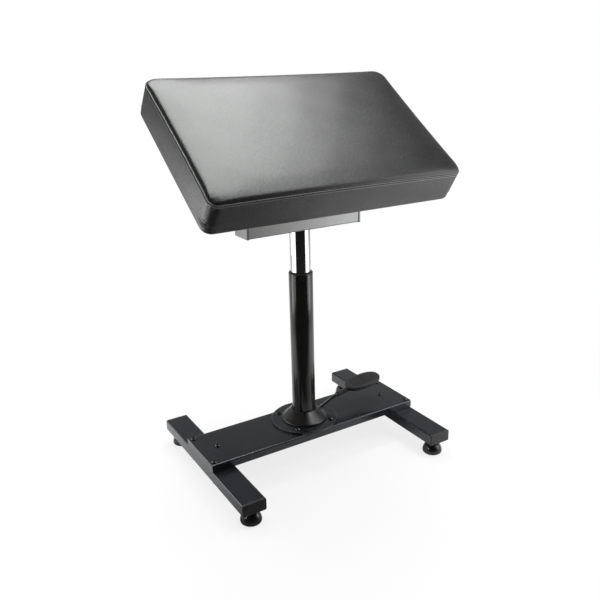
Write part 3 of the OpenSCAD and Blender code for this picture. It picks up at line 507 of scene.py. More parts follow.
bar_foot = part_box("yoke_bar")[0].z
silver = silver_paint("satin_silver_paint", level=1.0, edge=0.05, width=0.0030, foot=bar_foot)
# Painted shade: the cheeks have the bar's paint drawn at 0.62 of its brightness, a darker shaded copy.
painted_shade_silver = silver_paint("satin_silver_paint_with_painted_shade", level=0.62, edge=0.035, width=0.0035)
smoothed(silver, "yoke_bar")
smoothed(painted_shade_silver, "cheek_left", "cheek_right")


# Pivot bolts, their nuts, and the tilt clamp: a star knob on a stud that draws a square
# nut against the slotted rail. Plated steel, and a glass-filled nylon knob.
smoothed(zinc, "pivot_nuts", "clamp_nut", "pivot_bolts")
smoothed(threaded_zinc, "clamp_stud")
smoothed(sparked_plastic, "clamp_knob")


# The rails under the pad, folded from strip and painted with the base's black powder. The
# right one carries the slotted tilt plate.
smoothed(satin_black, "pad_rail_left", "pad_rail_right")


# The pad's board: birch plywood of nine plies, sawn with round corners. It is laid out in
# the pad's own directions, across, along and up, which lean back about the pivot line.
PAD_TILT = math.radians(35)
PIVOT_HEIGHT = 0.744
PAD_DROP = 0.027
PAD_SHIFT = 0.012
BOARD_LOW = 0.0015
BOARD_THICK = 0.012
BOARD_TOP = BOARD_LOW + BOARD_THICK
PLIES = 9


def plywood():
    """Birch plywood: long grain on the faces, and on the edge its plies, every second one end grain,
    found by the height over the board's underside."""
    material, tree, shader = finish("birch_plywood", (0.50, 0.36, 0.22), 0.62)
    lean = (PAD_TILT, 0, 0)
    centre = (0, 0, PIVOT_HEIGHT)
    spot = lie(tree, centre, lean)
    along_x = lie(tree, centre, lean, stretch=(0.09, 0.004, 0.004))
    grain = cloud(tree, along_x, size=1.0, detail=4, twist=0.6)
    end_grain = cloud(tree, spot, size=0.0006, detail=2)
    up = add(tree, "SeparateXYZ", {"Vector": spot}).outputs["Z"]
    over_underside = sums(tree, "SUBTRACT", up, PAD_DROP + BOARD_LOW)
    height = sums(tree, "DIVIDE", over_underside, BOARD_THICK / (PLIES / 2))
    ply = sums(tree, "GREATER_THAN", sums(tree, "FRACT", height), 0.5)
    mixed = sums(tree, "ADD", sums(tree, "MULTIPLY", grain, 0.75), sums(tree, "MULTIPLY", ply, 0.22))
    tone = spread(tree, mixed, 0, 1, start=0.15, end=0.75)
    tones(tree, shader, tone, (0.27, 0.165, 0.085), (0.60, 0.44, 0.28))
    both = sums(tree, "ADD", grain, sums(tree, "MULTIPLY", end_grain, 0.5))
    relief(tree, shader, both, depth=0.0002, edge=0.0006)
    return material


dress(plywood(), "pad_board")


# The pad: a foam block on the board under black imitation leather. The top panel is sewn
# to a straight side band, pulled down over the board and stapled beneath it, which draws
# the sides in between the corners and crowns the top.
PAD_HALF = (0.320, 0.197)
SEAM_HEIGHT = 0.079
CROWN = 0.017
SEAM_IN = 0.0026
SEAM_HALF = (PAD_HALF[0] - SEAM_IN, PAD_HALF[1] - SEAM_IN)
SEAM_RADIUS = 0.020
TOP_RADIUS = 0.060
TOP_RADIUS_REACH = 0.010
SIDE_RADIUS = 0.023
SIDE_BOW = 0.0025
LOWER_EDGE_ROUND = 0.004
HEM_WIDTH = 0.0295
HEM_THICK = 0.0013
HEM_RADIUS = 0.004
GRID_PITCH = 0.0066
HALVINGS = 26

# How high the lip and the shoulder rise, over which reach, and how much further in slack foam.
LIP = (0.0046, 0.0009, 0.0012)
SHOULDER = (0.0044, 0.0040, 0.0060)
DOME_POWER = 3.8
SLACK_REACH = 0.12


def stations(half, pitch):
    """Places across the panel: 0.8 mm steps at each seam that widen to one pitch in the middle."""
    edge = np.cumsum([0, 0.8, 1.0, 1.3, 1.6, 2.1, 2.8, 3.6, 4.6]) / 1000
    span = 2 * half - 2 * edge[-1]
    middle = edge[-1] + np.linspace(0, span, int(round(span / pitch)) + 1)
    return np.concatenate([edge[:-1], middle, 2 * half - edge[:-1][::-1]]) - half


def round_corners(across, along, half, radius, bow):
    """A box's edge points moved onto a rounded outline: those within one radius of a corner go to
    its arc, by their share of the way round it, and the sides pull in by a bow, a parabola."""
    core = np.array(half) - radius
    dx = np.clip(np.abs(across) - core[0], 0, None)
    dy = np.clip(np.abs(along) - core[1], 0, None)
    both = (dx > 0) & (dy > 0)
    angle = np.where(dx >= dy, dy / radius, 2 - dx / radius) * math.pi / 4
    x = np.where(both, core[0] + radius * np.cos(angle), np.abs(across))
    y = np.where(both, core[1] + radius * np.sin(angle), np.abs(along))
    side = np.clip(1 - (along / core[1]) ** 2, 0, 1) * bow * (np.abs(across) >= half[0] - 1e-9)
    end = np.clip(1 - (across / core[0]) ** 2, 0, 1) * bow * (np.abs(along) >= half[1] - 1e-9)
    return np.copysign(x - side, across), np.copysign(y - end, along)


def depth_inside(across, along):
    """How far a point lies inside the seam: the inset of the rounded outline that runs through it,
    found by halving. The outline's corner radius opens from the seam's towards the crown's, by an
    exponential that has done two thirds of it 10 mm in."""
    half = SEAM_HALF
    bow_x = SIDE_BOW * np.clip(1 - (along / half[1]) ** 2, 0, 1)
    bow_y = SIDE_BOW * np.clip(1 - (across / half[0]) ** 2, 0, 1)
    gap_x = half[0] - bow_x - np.abs(across)
    gap_y = half[1] - bow_y - np.abs(along)
    low = np.zeros_like(gap_x)
    high = np.full_like(gap_x, half[1])
    for _ in range(HALVINGS):
        middle = (low + high) / 2
        opened = 1 - np.exp(-middle / TOP_RADIUS_REACH)
        radius = SEAM_RADIUS + (TOP_RADIUS - SEAM_RADIUS) * opened
        a = radius - (gap_x - middle)
        b = radius - (gap_y - middle)
        outside = np.hypot(a.clip(0), b.clip(0)) + np.minimum(np.maximum(a, b), 0) - radius > 0
        high = np.where(outside, middle, high)
        low = np.where(outside, low, middle)
    return (low + high) / 2


def crown_rise(depth, slack):
    """Height over the seam: a steep lip and a soft shoulder, which each die off by an exponential in
    a short reach that slack foam lengthens, and a long flat dome, a power of the share inwards."""
    share = np.clip(depth / SEAM_HALF[1], 0, 1)
    dome = (CROWN - LIP[0] - SHOULDER[0]) * (1 - (1 - share) ** DOME_POWER)
    steps = (
        rise * (1 - np.exp(-depth / (reach + further * slack)))
        for rise, reach, further in (LIP, SHOULDER)
    )
    return sum(steps) + dome


def top_panel(swell):
    """The top panel as a grid: its edge runs round the seam, the inside is spanned between the four
    sides (each pair blended, less the corners), and it rises by a share of the crown. Its shoulder
    is softer at the front left corner, where the foam has given most."""
    half = SEAM_HALF
    xs = stations(half[0], GRID_PITCH)
    ys = stations(half[1], GRID_PITCH)
    u = ((xs / half[0] + 1) / 2)[:, None, None]
    v = ((ys / half[1] + 1) / 2)[None, :, None]
    side_y = np.stack(round_corners(np.full_like(ys, half[0]), ys, half, SEAM_RADIUS, SIDE_BOW), -1)
    side_x = np.stack(round_corners(xs, np.full_like(xs, half[1]), half, SEAM_RADIUS, SIDE_BOW), -1)
    right = side_y[None, :, :]
    left = right * (-1, 1)
    back = side_x[:, None, :]
    front = back * (1, -1)
    corner = side_y[-1]
    flat = left * (1 - u) + right * u
    flat = flat + front * (1 - v) + back * v
    corners = (2 * u - 1) * np.array([corner[0], 0]) + (2 * v - 1) * np.array([0, corner[1]])
    flat = flat - corners
    x, y = flat[..., 0], flat[..., 1]
    slack = np.exp(-np.hypot(x + half[0], y + half[1]) / SLACK_REACH)
    height = SEAM_HEIGHT + swell * crown_rise(depth_inside(x, y), slack)
    edge = np.zeros(height.shape, bool)
    edge[[0, -1], :] = True
    edge[:, [0, -1]] = True
    height[edge] = SEAM_HEIGHT
    return xs, ys, np.concatenate([flat, height[..., None]], -1)


def edge_order(nx, ny):
    """The grid's edge cells in one closed run, seen anticlockwise from above."""
    front = [(i, 0) for i in range(nx - 1)]
    right = [(nx - 1, j) for j in range(ny - 1)]
    back = [(i, ny - 1) for i in range(nx - 1, 0, -1)]
    left = [(0, j) for j in range(ny - 1, 0, -1)]
    return np.array(front + right + back + left)


def band_at(height):
    """A height on the side band as a share of the way up from the board to the seam, and the inset
    and the bow there, which are powers of that share."""
    share = np.clip((height - BOARD_TOP) / (SEAM_HEIGHT - BOARD_TOP), 0, 1)
    return share, SEAM_IN * share**1.3, SIDE_BOW * share**1.2


def side_rings():
    """Rings under the seam: how far in, how high, corner radius and bow, down the band, round the
    board's lower edge, inwards under it as a hem, and back up into the board."""
    near_seam = [0.6, 1.2, 1.8, 2.4, 3.0, 3.7, 4.5, 5.2, 5.9, 6.8, 8, 10, 12.5, 15.5, 19.5]
    far_down = [25, 31, 37, 43, 48, 51.5, 54.5, 57.5, 60.5, 63.5, 66.5, 69, 71.5, 73.5, 75]
    height = SEAM_HEIGHT - np.array(near_seam + far_down) / 1000
    share, inset, bow = band_at(height)
    radius = SIDE_RADIUS - (SIDE_RADIUS - SEAM_RADIUS) * share
    rings = list(zip(inset, height, radius, bow))
    for angle in (25, 50, 72, 90):
        turn = math.radians(angle)
        inwards = LOWER_EDGE_ROUND * (1 - math.cos(turn))
        up = LOWER_EDGE_ROUND * (1 - math.sin(turn))
        rings.append((inwards, up, SIDE_RADIUS - inwards, 0))
    for inwards in (0.008, 0.014, 0.020, 0.026, HEM_WIDTH):
        rings.append((inwards, 0.0, max(SIDE_RADIUS - inwards, HEM_RADIUS), 0))
    for inwards in (HEM_WIDTH, 0.020, 0.010):
        rings.append((inwards, HEM_THICK, max(SIDE_RADIUS - inwards, HEM_RADIUS), 0))
    rings.append((0.006, 0.007, SIDE_RADIUS - 0.006, 0))
    return rings


def cover_mesh(swell):
    """The cover's points and faces: the top panel's grid, then ring under ring, each ring following
    the grid's edge, so one row of faces joins the next. The last ring, inside the board, stays open.
    Also the numbers of the points on the seam."""
    xs, ys, top = top_panel(swell)
    nx, ny = len(xs), len(ys)
    number = np.arange(nx * ny).reshape(nx, ny)
    order = edge_order(nx, ny)
    loop = number[order[:, 0], order[:, 1]]
    count = len(loop)
    share_x = xs[order[:, 0]] / xs[-1]
    share_y = ys[order[:, 1]] / ys[-1]
    points = [top.reshape(-1, 3)]
    a, b = number[:-1, :-1].ravel(), number[1:, :-1].ravel()
    c, d = number[1:, 1:].ravel(), number[:-1, 1:].ravel()
    faces = [np.stack([a, b, c, d], -1)]
    above = loop
    start = nx * ny
    for inset, height, radius, bow in side_rings():
        half = (PAD_HALF[0] - inset, PAD_HALF[1] - inset)
        x, y = round_corners(share_x * half[0], share_y * half[1], half, radius, bow)
        points.append(np.stack([x, y, np.full(count, height)], -1))
        below = start + np.arange(count)
        faces.append(np.stack([above, below, np.roll(below, -1), np.roll(above, -1)], -1))
        above = below
        start += count
    return np.concatenate(points), np.concatenate(faces), loop


def evened(field, faces, rounds):
    """A field of moves on a mesh, each point's replaced by the mean of its own and its neighbours'
    mean, for some rounds, so that broad swelling stays and small wrinkles go."""
    ends = np.concatenate([faces[:, [i, (i + 1) % 4]] for i in range(4)])
    ends = np.concatenate([ends, ends[:, ::-1]])
    count = np.bincount(ends[:, 0], minlength=len(field))[:, None]
    for _ in range(rounds):
        near = [np.bincount(ends[:, 0], field[ends[:, 1], axis], len(field)) for axis in range(3)]
        field = (field + np.stack(near, -1) / np.maximum(count, 1)) / 2
    return field


CLOTH_STEPS = 20
SEAM_PIN = 0.35
CLOTH = {
    "vertex_group_mass": "pinned",
    "quality": 6,
    "mass": 0.3,
    "tension_stiffness": 40,
    "compression_stiffness": 40,
    "shear_stiffness": 15,
    "bending_stiffness": 4.0,
    "use_pressure": True,
    "uniform_pressure_force": 1.2,
    "shrink_min": 0.0,
}


def swell_cover(cover, held, half_held):
    """Blows the cover up as cloth without weight, its hem pinned and its seam partly pinned."""
    pins = cover.vertex_groups.new(name="pinned")
    pins.add(held.tolist(), 1.0, "REPLACE")
    pins.add(half_held.tolist(), SEAM_PIN, "REPLACE")
    cloth = cover.modifiers.new("swell", "CLOTH")
    for key, value in CLOTH.items():
        setattr(cloth.settings, key, value)
    cloth.settings.effector_weights.gravity = 0
    cloth.point_cache.frame_start = 1
    cloth.point_cache.frame_end = CLOTH_STEPS
    scene = bpy.context.scene
    for step in range(1, CLOTH_STEPS + 1):
        scene.frame_set(step)
    shaped = cover.evaluated_get(bpy.context.evaluated_depsgraph_get())
    swollen = points_of(shaped.data)
    scene.frame_set(1)
    cover.modifiers.remove(cloth)
    return swollen


GATHER_LENGTHS = (0.011, 0.017, 0.029, 0.047)

# Rise, place under the seam and width of the groove at the seam, the roll under it, the dent
# that the stitches pull, and the roll beside them.
SEAM_PROFILE = (
    (-0.0011, 0.0003, 0.0006),
    (0.0009, 0.0018, 0.0007),
    (-0.0008, 0.0050, 0.0007),
    (0.0007, 0.0066, 0.0008),
)
GATHER_RISE = 0.00007
PLEATS = 7
PLEAT_RISE = 0.0007
PLEAT_PLACE = 0.0115
PLEAT_WIDTH = 0.0035
CREASE_RISE = 0.0023
CREASE_PITCH = 0.0074
CREASE_HEIGHT = 0.019
CREASE_WIDTH = 0.010
LUMP_RISE = 0.0006
HEM_STILL = 0.010


def waves(run, lengths, seed):
    """A sum of sines of several lengths with fixed random phases, each of which swells and dies
    along the run."""
    rng = np.random.default_rng(seed)
    total = np.zeros_like(run)
    for length in lengths:
        phase, slow, shift = rng.uniform(0, 2 * math.pi, 3)
        strength = 0.6 + 0.4 * np.sin(run / (length * 3.1) + slow + shift)
        total += np.sin(2 * math.pi * run / length + phase) * strength
    return total / math.sqrt(len(lengths))


def bell(value, place, width):
    """A bell curve: the exponential of minus the squared distance from its place, in widths."""
    return np.exp(-(((value - place) / width) ** 2))


def worked_leather(points, normals):
    """Moves each point along its normal for what the sewing does: the seam's profile, faint gathers
    along it, short pleats under it and short level creases at the foot of each rounded corner, most
    at the front left one, and soft lumps in the foam. Also gives how far under the seam each point
    is, below zero on the top."""
    x, y, h = points.T
    half = SEAM_HALF
    inside = depth_inside(x, y)
    on_top = (h > SEAM_HEIGHT - 1e-4) & (inside > 0.0002)
    from_seam = np.where(on_top, -inside - (h - SEAM_HEIGHT).clip(0), SEAM_HEIGHT - h)
    gap_x = (half[0] - np.abs(x)).clip(1e-4)
    gap_y = (half[1] - np.abs(y)).clip(1e-4)
    side = gap_y**2 / (gap_x**2 + gap_y**2)
    run_x = waves(x + np.where(y > 0, 1.7, 0.0), GATHER_LENGTHS, 3)
    run_y = waves(y + np.where(x > 0, 2.9, 0.6), GATHER_LENGTHS, 5)
    gather = run_x * (1 - side) + run_y * side
    corner = bell(np.maximum(gap_x, gap_y), 0, 0.055)
    front_left = bell(np.hypot(x + half[0], y + half[1]), 0, 0.09)
    away = np.abs(from_seam)
    move = np.zeros_like(from_seam)
    for rise, place, width in SEAM_PROFILE:
        move += rise * bell(from_seam, place, width)
    move += gather * GATHER_RISE * np.exp(-away / 0.012) * (1 + 3 * corner + 4 * front_left)
    tight = bell(np.hypot(gap_x, gap_y), 0, 0.030)
    at_corner = tight * (0.3 + 0.7 * ((x < 0) & (y < 0)))
    hung = (from_seam > 0.0085) * tight
    pleat = np.sin(2 * math.pi * side * PLEATS) * bell(from_seam, PLEAT_PLACE, PLEAT_WIDTH)
    move += PLEAT_RISE * pleat * hung * at_corner
    crease = np.sin(2 * math.pi * (h / CREASE_PITCH + 0.5 * side))
    crease = crease * bell(h, CREASE_HEIGHT, CREASE_WIDTH)
    short = bell(side + 0.10 * np.sin(h / 0.0017), 0.84, 0.26)
    move += CREASE_RISE * crease * at_corner * short
    soft = np.exp(-away / 0.05)
    lumps = waves(x * 0.9 + y * 0.35, (0.13, 0.19, 0.31), 21)
    lumps = lumps * waves(y - x * 0.2, (0.12, 0.21), 22)
    move += LUMP_RISE * lumps * (1 - soft) * (h > 0.02)
    move[h < HEM_STILL] = 0
    return points + normals * move[:, None], from_seam


def lean_back(points):
    """Pad places (across, along, up) in the shared frame: moved by the pad's shift and drop, then
    turned by the tilt about the pivot line."""
    across, along, up = np.asarray(points, float).T
    along = along + PAD_SHIFT
    up = up + PAD_DROP
    c, s = math.cos(PAD_TILT), math.sin(PAD_TILT)
    return np.stack([across, along * c - up * s, PIVOT_HEIGHT + along * s + up * c], -1)


# Where the rolls lie under the seam: worn shinier there, and painted paler as a painted highlight.
WORN_AND_HIGHLIT_ROLLS = (0.0016, 0.0064)


def vinyl():
    """Black imitation leather: pebble grain of 1.8 mm cells with fine creases between, darker and
    rougher in the creases, a sewn line where the seam attribute passes zero, and rolls beside the seam
    and the stitches that are shinier where sleeves rub, and painted paler as a painted highlight."""
    black = (0.013, 0.0130, 0.0127)
    material, tree, shader = finish("black_imitation_leather", black, 0.30, specular=0.55)
    shader.inputs["Specular Tint"].default_value = (0.968, 1.0, 0.972, 1)
    spot = lie(tree)
    bent = cloud(tree, spot, size=0.004, detail=2)
    cell_values = {"Vector": spot, "Scale": 560.0}
    cells = add(tree, "TexVoronoi", cell_values, feature="DISTANCE_TO_EDGE")
    pebble = spread(tree, cells.outputs["Distance"], 0, 1, start=0.0, end=0.22)
    fine = cloud(tree, spot, size=0.0005, detail=2)
    hand = cloud(tree, spot, size=0.07, detail=3)
    seam = add(tree, "Attribute", attribute_name="from_seam").outputs["Fac"]
    near = spread(tree, sums(tree, "ABSOLUTE", seam), 1, 0, start=0.0004, end=0.0014)
    skin = sums(tree, "MULTIPLY", pebble, sums(tree, "SUBTRACT", 1.0, near))
    clean = tones(tree, shader, skin, (0.006, 0.006, 0.006), (0.0140, 0.0140, 0.0136))
    from_rolls = [
        sums(tree, "ABSOLUTE", sums(tree, "SUBTRACT", seam, place)) for place in WORN_AND_HIGHLIT_ROLLS
    ]
    from_roll = sums(tree, "MINIMUM", *from_rolls)
    # Painted highlight: the rolls are painted paler, and made less rough for wear.
    worn_and_highlit = spread(tree, from_roll, 1, 0, start=0.0003, end=0.0012)
    tones(tree, shader, worn_and_highlit, clean, (0.170, 0.170, 0.166))
    creased = spread(tree, pebble, 0.12, 0.0, start=0, end=1)
    rough = sums(tree, "ADD", spread(tree, hand, 0.247, 0.261), creased)
    rough = sums(tree, "SUBTRACT", rough, sums(tree, "MULTIPLY", worn_and_highlit, 0.06))
    roughen(tree, shader, rough)
    height = sums(tree, "ADD", pebble, sums(tree, "MULTIPLY", sums(tree, "ADD", fine, bent), 0.5))
    relief(tree, shader, height, depth=0.00005)
    return material


START_SWELL = 0.93
PINNED_BELOW = 0.016
EVENING_ROUNDS = 30
MOVE_LIMIT = 0.005
CLOTH_SHARE = 0.3


def blown_cover(points, faces, seam):
    """The cover blown up as cloth: its moves are evened, none is over the limit and none is left on
    the hem, and the rise of the top is then scaled to the crown."""
    trial = new_mesh("cover_trial", points, faces)
    held = points[:, 2] < PINNED_BELOW
    swollen = swell_cover(trial, np.flatnonzero(held), seam)
    bpy.data.objects.remove(trial)
    shift = evened(swollen - points, faces, EVENING_ROUNDS)
    length = np.linalg.norm(shift, axis=1, keepdims=True)
    print("cloth moved the cover by", round(1000 * float(length.max()), 2), "mm before the limit")
    shift *= np.minimum(1, MOVE_LIMIT / np.maximum(length, 1e-9))
    shift[held] = 0
    blown = points + shift
    on_top = blown[:, 2] > SEAM_HEIGHT
    rise = (blown[:, 2] - SEAM_HEIGHT)[on_top]
    blown[on_top, 2] = SEAM_HEIGHT + rise * CROWN / rise.max()
    return blown


def subdivided(points, faces):
    """A mesh's points, normals and four-sided faces after one round of subdivision."""
    smooth = new_mesh("cover_smooth", points, faces)
    once = smooth.modifiers.new("once_more", "SUBSURF")
    once.levels = once.render_levels = 1
    once.boundary_smooth = "PRESERVE_CORNERS"
    ready = smooth.evaluated_get(bpy.context.evaluated_depsgraph_get()).data
    fine_points = points_of(ready)
    normals = np.zeros(len(fine_points) * 3)
    ready.vertex_normals.foreach_get("vector", normals)
    fine_faces = np.zeros(len(ready.loops), np.int64)
    ready.loops.foreach_get("vertex_index", fine_faces)
    bpy.data.objects.remove(smooth)
    return fine_points, normals.reshape(-1, 3), fine_faces.reshape(-1, 4)


def open_rim(points, faces):
    """The edges that only one face has, followed point by point round the mesh's one hole, clockwise
    seen from above."""
    pairs = np.sort(np.concatenate([faces[:, [i, (i + 1) % 4]] for i in range(4)]), 1)
    lone, times = np.unique(pairs, axis=0, return_counts=True)
    lone = lone[times == 1]
    follow = {}
    for first, second in lone.tolist():
        follow.setdefault(first, []).append(second)
        follow.setdefault(second, []).append(first)
    rim = [int(lone[0, 0])]
    rim.append(follow[rim[0]][0])
    while len(rim) < len(follow):
        ahead = follow[rim[-1]]
        rim.append(ahead[1] if ahead[0] == rim[-2] else ahead[0])
    (x0, y0), (x1, y1) = points[rim[:2], :2]
    if x0 * y1 - x1 * y0 > 0:
        rim.reverse()
    return rim


leather = vinyl()
rest_points, rest_faces, seam_loop = cover_mesh(START_SWELL)
full_points = cover_mesh(1.0)[0]
blown = blown_cover(rest_points, rest_faces, seam_loop)
full_points = (1 - CLOTH_SHARE) * full_points + CLOTH_SHARE * blown
fine_points, fine_normals, fine_faces = subdivided(full_points, rest_faces)
worked, from_seam = worked_leather(fine_points, fine_normals)
rim = open_rim(fine_points, fine_faces)
cushion = new_mesh("pad_cushion", lean_back(worked), fine_faces, [rim])
mark = cushion.data.attributes.new("from_seam", "FLOAT", "POINT")
mark.data.foreach_set("value", from_seam)
cushion.data.materials.append(leather)
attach(cushion, "pad")
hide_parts("pad_cover", "pad_foam")


# The row of top stitches along the side band, 5 mm below the seam. Lockstitches 3.6 mm
# long in a charcoal polyester thread, each sunk into the cover at both ends.
STITCH_DROP = 0.0052
STITCH_PITCH = 0.0052
STITCH_LONG = 0.0036
STITCH_LIFT = 0.0002
STITCH_SINK = 0.0006
THREAD = 0.00042
ROW_RADIUS = 0.0203
OUTLINE_STEPS = 4000
ROD_SIDES = 6


def around_the_band(drop, pitch):
    """Places round the band one pitch apart, a drop below the seam, and their directions."""
    inset, bow = band_at(SEAM_HEIGHT - drop)[1:]
    half = (PAD_HALF[0] - inset, PAD_HALF[1] - inset)
    turn = np.arange(OUTLINE_STEPS) / OUTLINE_STEPS * 8
    corner_turns = [0, 1, 3, 5, 7, 8]
    x = np.interp(turn, corner_turns, half[0] * np.array([0, 1, 1, -1, -1, 0]))
    y = np.interp(turn, corner_turns, half[1] * np.array([-1, -1, 1, 1, -1, -1]))
    x, y = round_corners(x, y, half, ROW_RADIUS, bow)
    step = np.hypot(np.roll(x, -1) - x, np.roll(y, -1) - y)
    length = np.concatenate([[0], np.cumsum(step)])
    count = int(round(length[-1] / pitch))
    at = np.arange(count) / count * length[-1]
    xs = np.interp(at, length, np.append(x, x[0]))
    ys = np.interp(at, length, np.append(y, y[0]))
    spots = np.stack([xs, ys, np.full(count, SEAM_HEIGHT - drop)], -1)
    ahead = np.roll(spots, -1, 0) - np.roll(spots, 1, 0)
    return spots, ahead / np.linalg.norm(ahead, axis=1, keepdims=True)


def rows_of_rods(spots, ahead, outward, length, radius, lift, sink, rings=7):
    """Short rods on a grid of along and round. The middle line is an arch that rises by a lift and
    dives by a sink at its ends, by a fourth power, and the radius closes towards both ends by the
    square root of one less that power."""
    t = np.linspace(-1, 1, rings)
    line = t[None, :, None] * ahead[:, None, :] * length / 2
    arch = (lift - (lift + sink) * t**4)[None, :, None] * outward[:, None, :]
    middle = spots[:, None, :] + line + arch
    across = np.cross(outward, ahead)
    angle = np.arange(ROD_SIDES) / ROD_SIDES * 2 * math.pi
    thick = radius * np.sqrt(1 - 0.98 * t**4)
    ring = np.cos(angle)[None, None, :, None] * across[:, None, None, :]
    ring = ring + np.sin(angle)[None, None, :, None] * outward[:, None, None, :]
    points = middle[:, :, None, :] + ring * thick[None, :, None, None]
    each = rings * ROD_SIDES
    quads, caps = tube_faces(np.arange(each).reshape(rings, ROD_SIDES))
    shift = (np.arange(len(spots)) * each)[:, None, None]
    faces = (quads[None] + shift).reshape(-1, 4).tolist()
    ends = (caps[None] + shift).reshape(-1, ROD_SIDES).tolist()
    return points.reshape(-1, 3), faces + ends


def on_cover(spots, ahead):
    """The nearest places on the sewn cover, with directions along it and out of it."""
    tree = BVHTree.FromPolygons(worked.tolist(), fine_faces.tolist())
    found = [tree.find_nearest(Vector(p)) for p in spots.tolist()]
    base = np.array([f[0] for f in found])
    out = np.array([f[1] for f in found])
    ahead = ahead - out * np.sum(ahead * out, 1, keepdims=True)
    return base, ahead / np.linalg.norm(ahead, axis=1, keepdims=True), out


def twisted_thread():
    """Twisted polyester: strands wound round the thread, charcoal with a soft sheen."""
    material, tree, shader = finish("charcoal_thread", (0.07, 0.07, 0.072), 0.5, specular=0.4)
    strand = lie(tree, stretch=(0.0009, 0.0009, 0.0003))
    twist = cloud(tree, strand, size=1.0, detail=1)
    tones(tree, shader, spread(tree, twist, 0, 1), (0.035, 0.035, 0.036), (0.12, 0.12, 0.123))
    relief(tree, shader, twist, depth=0.00010)
    return material


row = on_cover(*around_the_band(STITCH_DROP, STITCH_PITCH))
stitch_points, stitch_faces = rows_of_rods(*row, STITCH_LONG, THREAD, STITCH_LIFT, STITCH_SINK)
stitches = new_mesh("pad_stitches", lean_back(stitch_points), stitch_faces)
stitches.data.materials.append(twisted_thread())
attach(stitches, "pad")


# Staples hold the hem under the board, every 32 mm. Bent from flattened galvanised wire
# and shot in flush, so only each crown shows.
STAPLE_PITCH = 0.032
STAPLE_INSET = 0.016
STAPLE_LONG = 0.0115
STAPLE_WIRE = 0.0005
STAPLE_LIFT = 0.0001
STAPLE_SINK = 0.0011
BAND_DROP = 0.060


def hem_staples():
    """Crowns on the hem, each a thin rod along it whose ends dive into the vinyl. They are spaced
    round the band and moved in to one rectangle."""
    spots, ahead = around_the_band(BAND_DROP, STAPLE_PITCH)
    half = np.array(PAD_HALF) - STAPLE_INSET
    reach = np.clip(spots[:, :2], -half, half)
    spots = np.concatenate([reach, np.full((len(spots), 1), -STAPLE_LIFT)], -1)
    down = np.tile([0.0, 0.0, -1.0], (len(spots), 1))
    sizes = (STAPLE_LONG, STAPLE_WIRE, STAPLE_LIFT, STAPLE_SINK)
    return rows_of_rods(spots, ahead, down, *sizes, rings=9)


staple_points, staple_faces = hem_staples()
staples = new_mesh("pad_staples", lean_back(staple_points), staple_faces)
staples.data.materials.append(zinc)
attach(staples, "pad")


# Welds where the cross bar meets the cheeks: short rippled fillets, sprayed over with the
# yoke's paint.
WELD_RADIUS = 0.0021
WELD_SIDES = 10
WELD_STEP = 0.0008
RIPPLE_PITCH = 0.0024
RIPPLE_RISE = 0.10
SHORT_OF_CORNER = 0.004
INTO_BAR = 0.0005


def weld_bead(start, end, out):
    """A fillet along a line: a round section that ripples along the run by half sines, and closes at
    both ends by a high power."""
    start, end, out = (np.asarray(p, float) for p in (start, end, out))
    run = end - start
    length = np.linalg.norm(run)
    t = np.linspace(0, 1, max(12, int(length / WELD_STEP)))
    ripple = 1 + RIPPLE_RISE * np.abs(np.sin(t * length / RIPPLE_PITCH * math.pi))
    close = np.sqrt(np.clip(1 - np.abs(2 * t - 1) ** 24, 0.02, 1))
    out = out / np.linalg.norm(out)
    middles = start + t[:, None] * run
    radius = WELD_RADIUS * ripple * close
    return tube(middles, radius, out, np.cross(run / length, out), WELD_SIDES)


def yoke_beads():
    """Four beads: along the bar's upper and lower edge on each cheek, short of the bar's corners."""
    bar_low, bar_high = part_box("yoke_bar")
    cheek_face = abs(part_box("cheek_left")[1].x)
    front, back = bar_low.y + SHORT_OF_CORNER, bar_high.y - SHORT_OF_CORNER
    foot, head = bar_low.z + INTO_BAR, bar_high.z - INTO_BAR
    points, faces, offset = [], [], 0
    for sign in (-1, 1):
        for z, start_y, end_y, up in ((head, front, back, 1), (foot, back, front, -1)):
            start = (sign * cheek_face, start_y, z)
            end = (sign * cheek_face, end_y, z)
            bead_points, bead_faces = weld_bead(start, end, (-sign, 0, up))
            points.append(bead_points)
            faces += [[i + offset for i in face] for face in bead_faces]
            offset += len(bead_points)
    return np.concatenate(points), faces


welds = new_mesh("yoke_welds", *yoke_beads())
welds.data.materials.append(silver)
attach(welds, "head")


# The studio: a pale sheet for a floor, a large soft box overhead, a small key light on the
# front right, upright reflectors at both sides with strips in and beside them, a far panel
# at the back left, and a dim room.
TO_CAMERA = (-0.511, -0.860, 0.0)
SHEET_RINGS = (0.5, 1.0, 2.0, 4.0, 8.0, 16.0, 40.0)
SPOKES = 64
SHEET_WHITE = (0.86, 0.86, 0.86)


def pale_floor():
    """A round sheet on rings and spokes, 40 m in radius, with the object on its middle."""
    radii = np.array(SHEET_RINGS)
    angle = np.arange(SPOKES) / SPOKES * 2 * math.pi
    flat = np.stack([np.cos(angle), np.sin(angle), np.zeros(SPOKES)], -1)
    points = np.concatenate([[[0, 0, 0]], (radii[:, None, None] * flat[None]).reshape(-1, 3)])
    number = 1 + np.arange(len(radii) * SPOKES).reshape(-1, SPOKES)
    facing_up = tube_faces(number)[0][:, ::-1]
    hub = [[0, int(number[0, i]), int(number[0, (i + 1) % SPOKES])] for i in range(SPOKES)]
    return new_mesh("floor", points, facing_up, hub)


def length_along(tree, way, direction):
    """How far a place or a way reaches along a direction."""
    values = {0: way, 1: direction}
    return add(tree, "VectorMath", values, operation="DOT_PRODUCT").outputs["Value"]


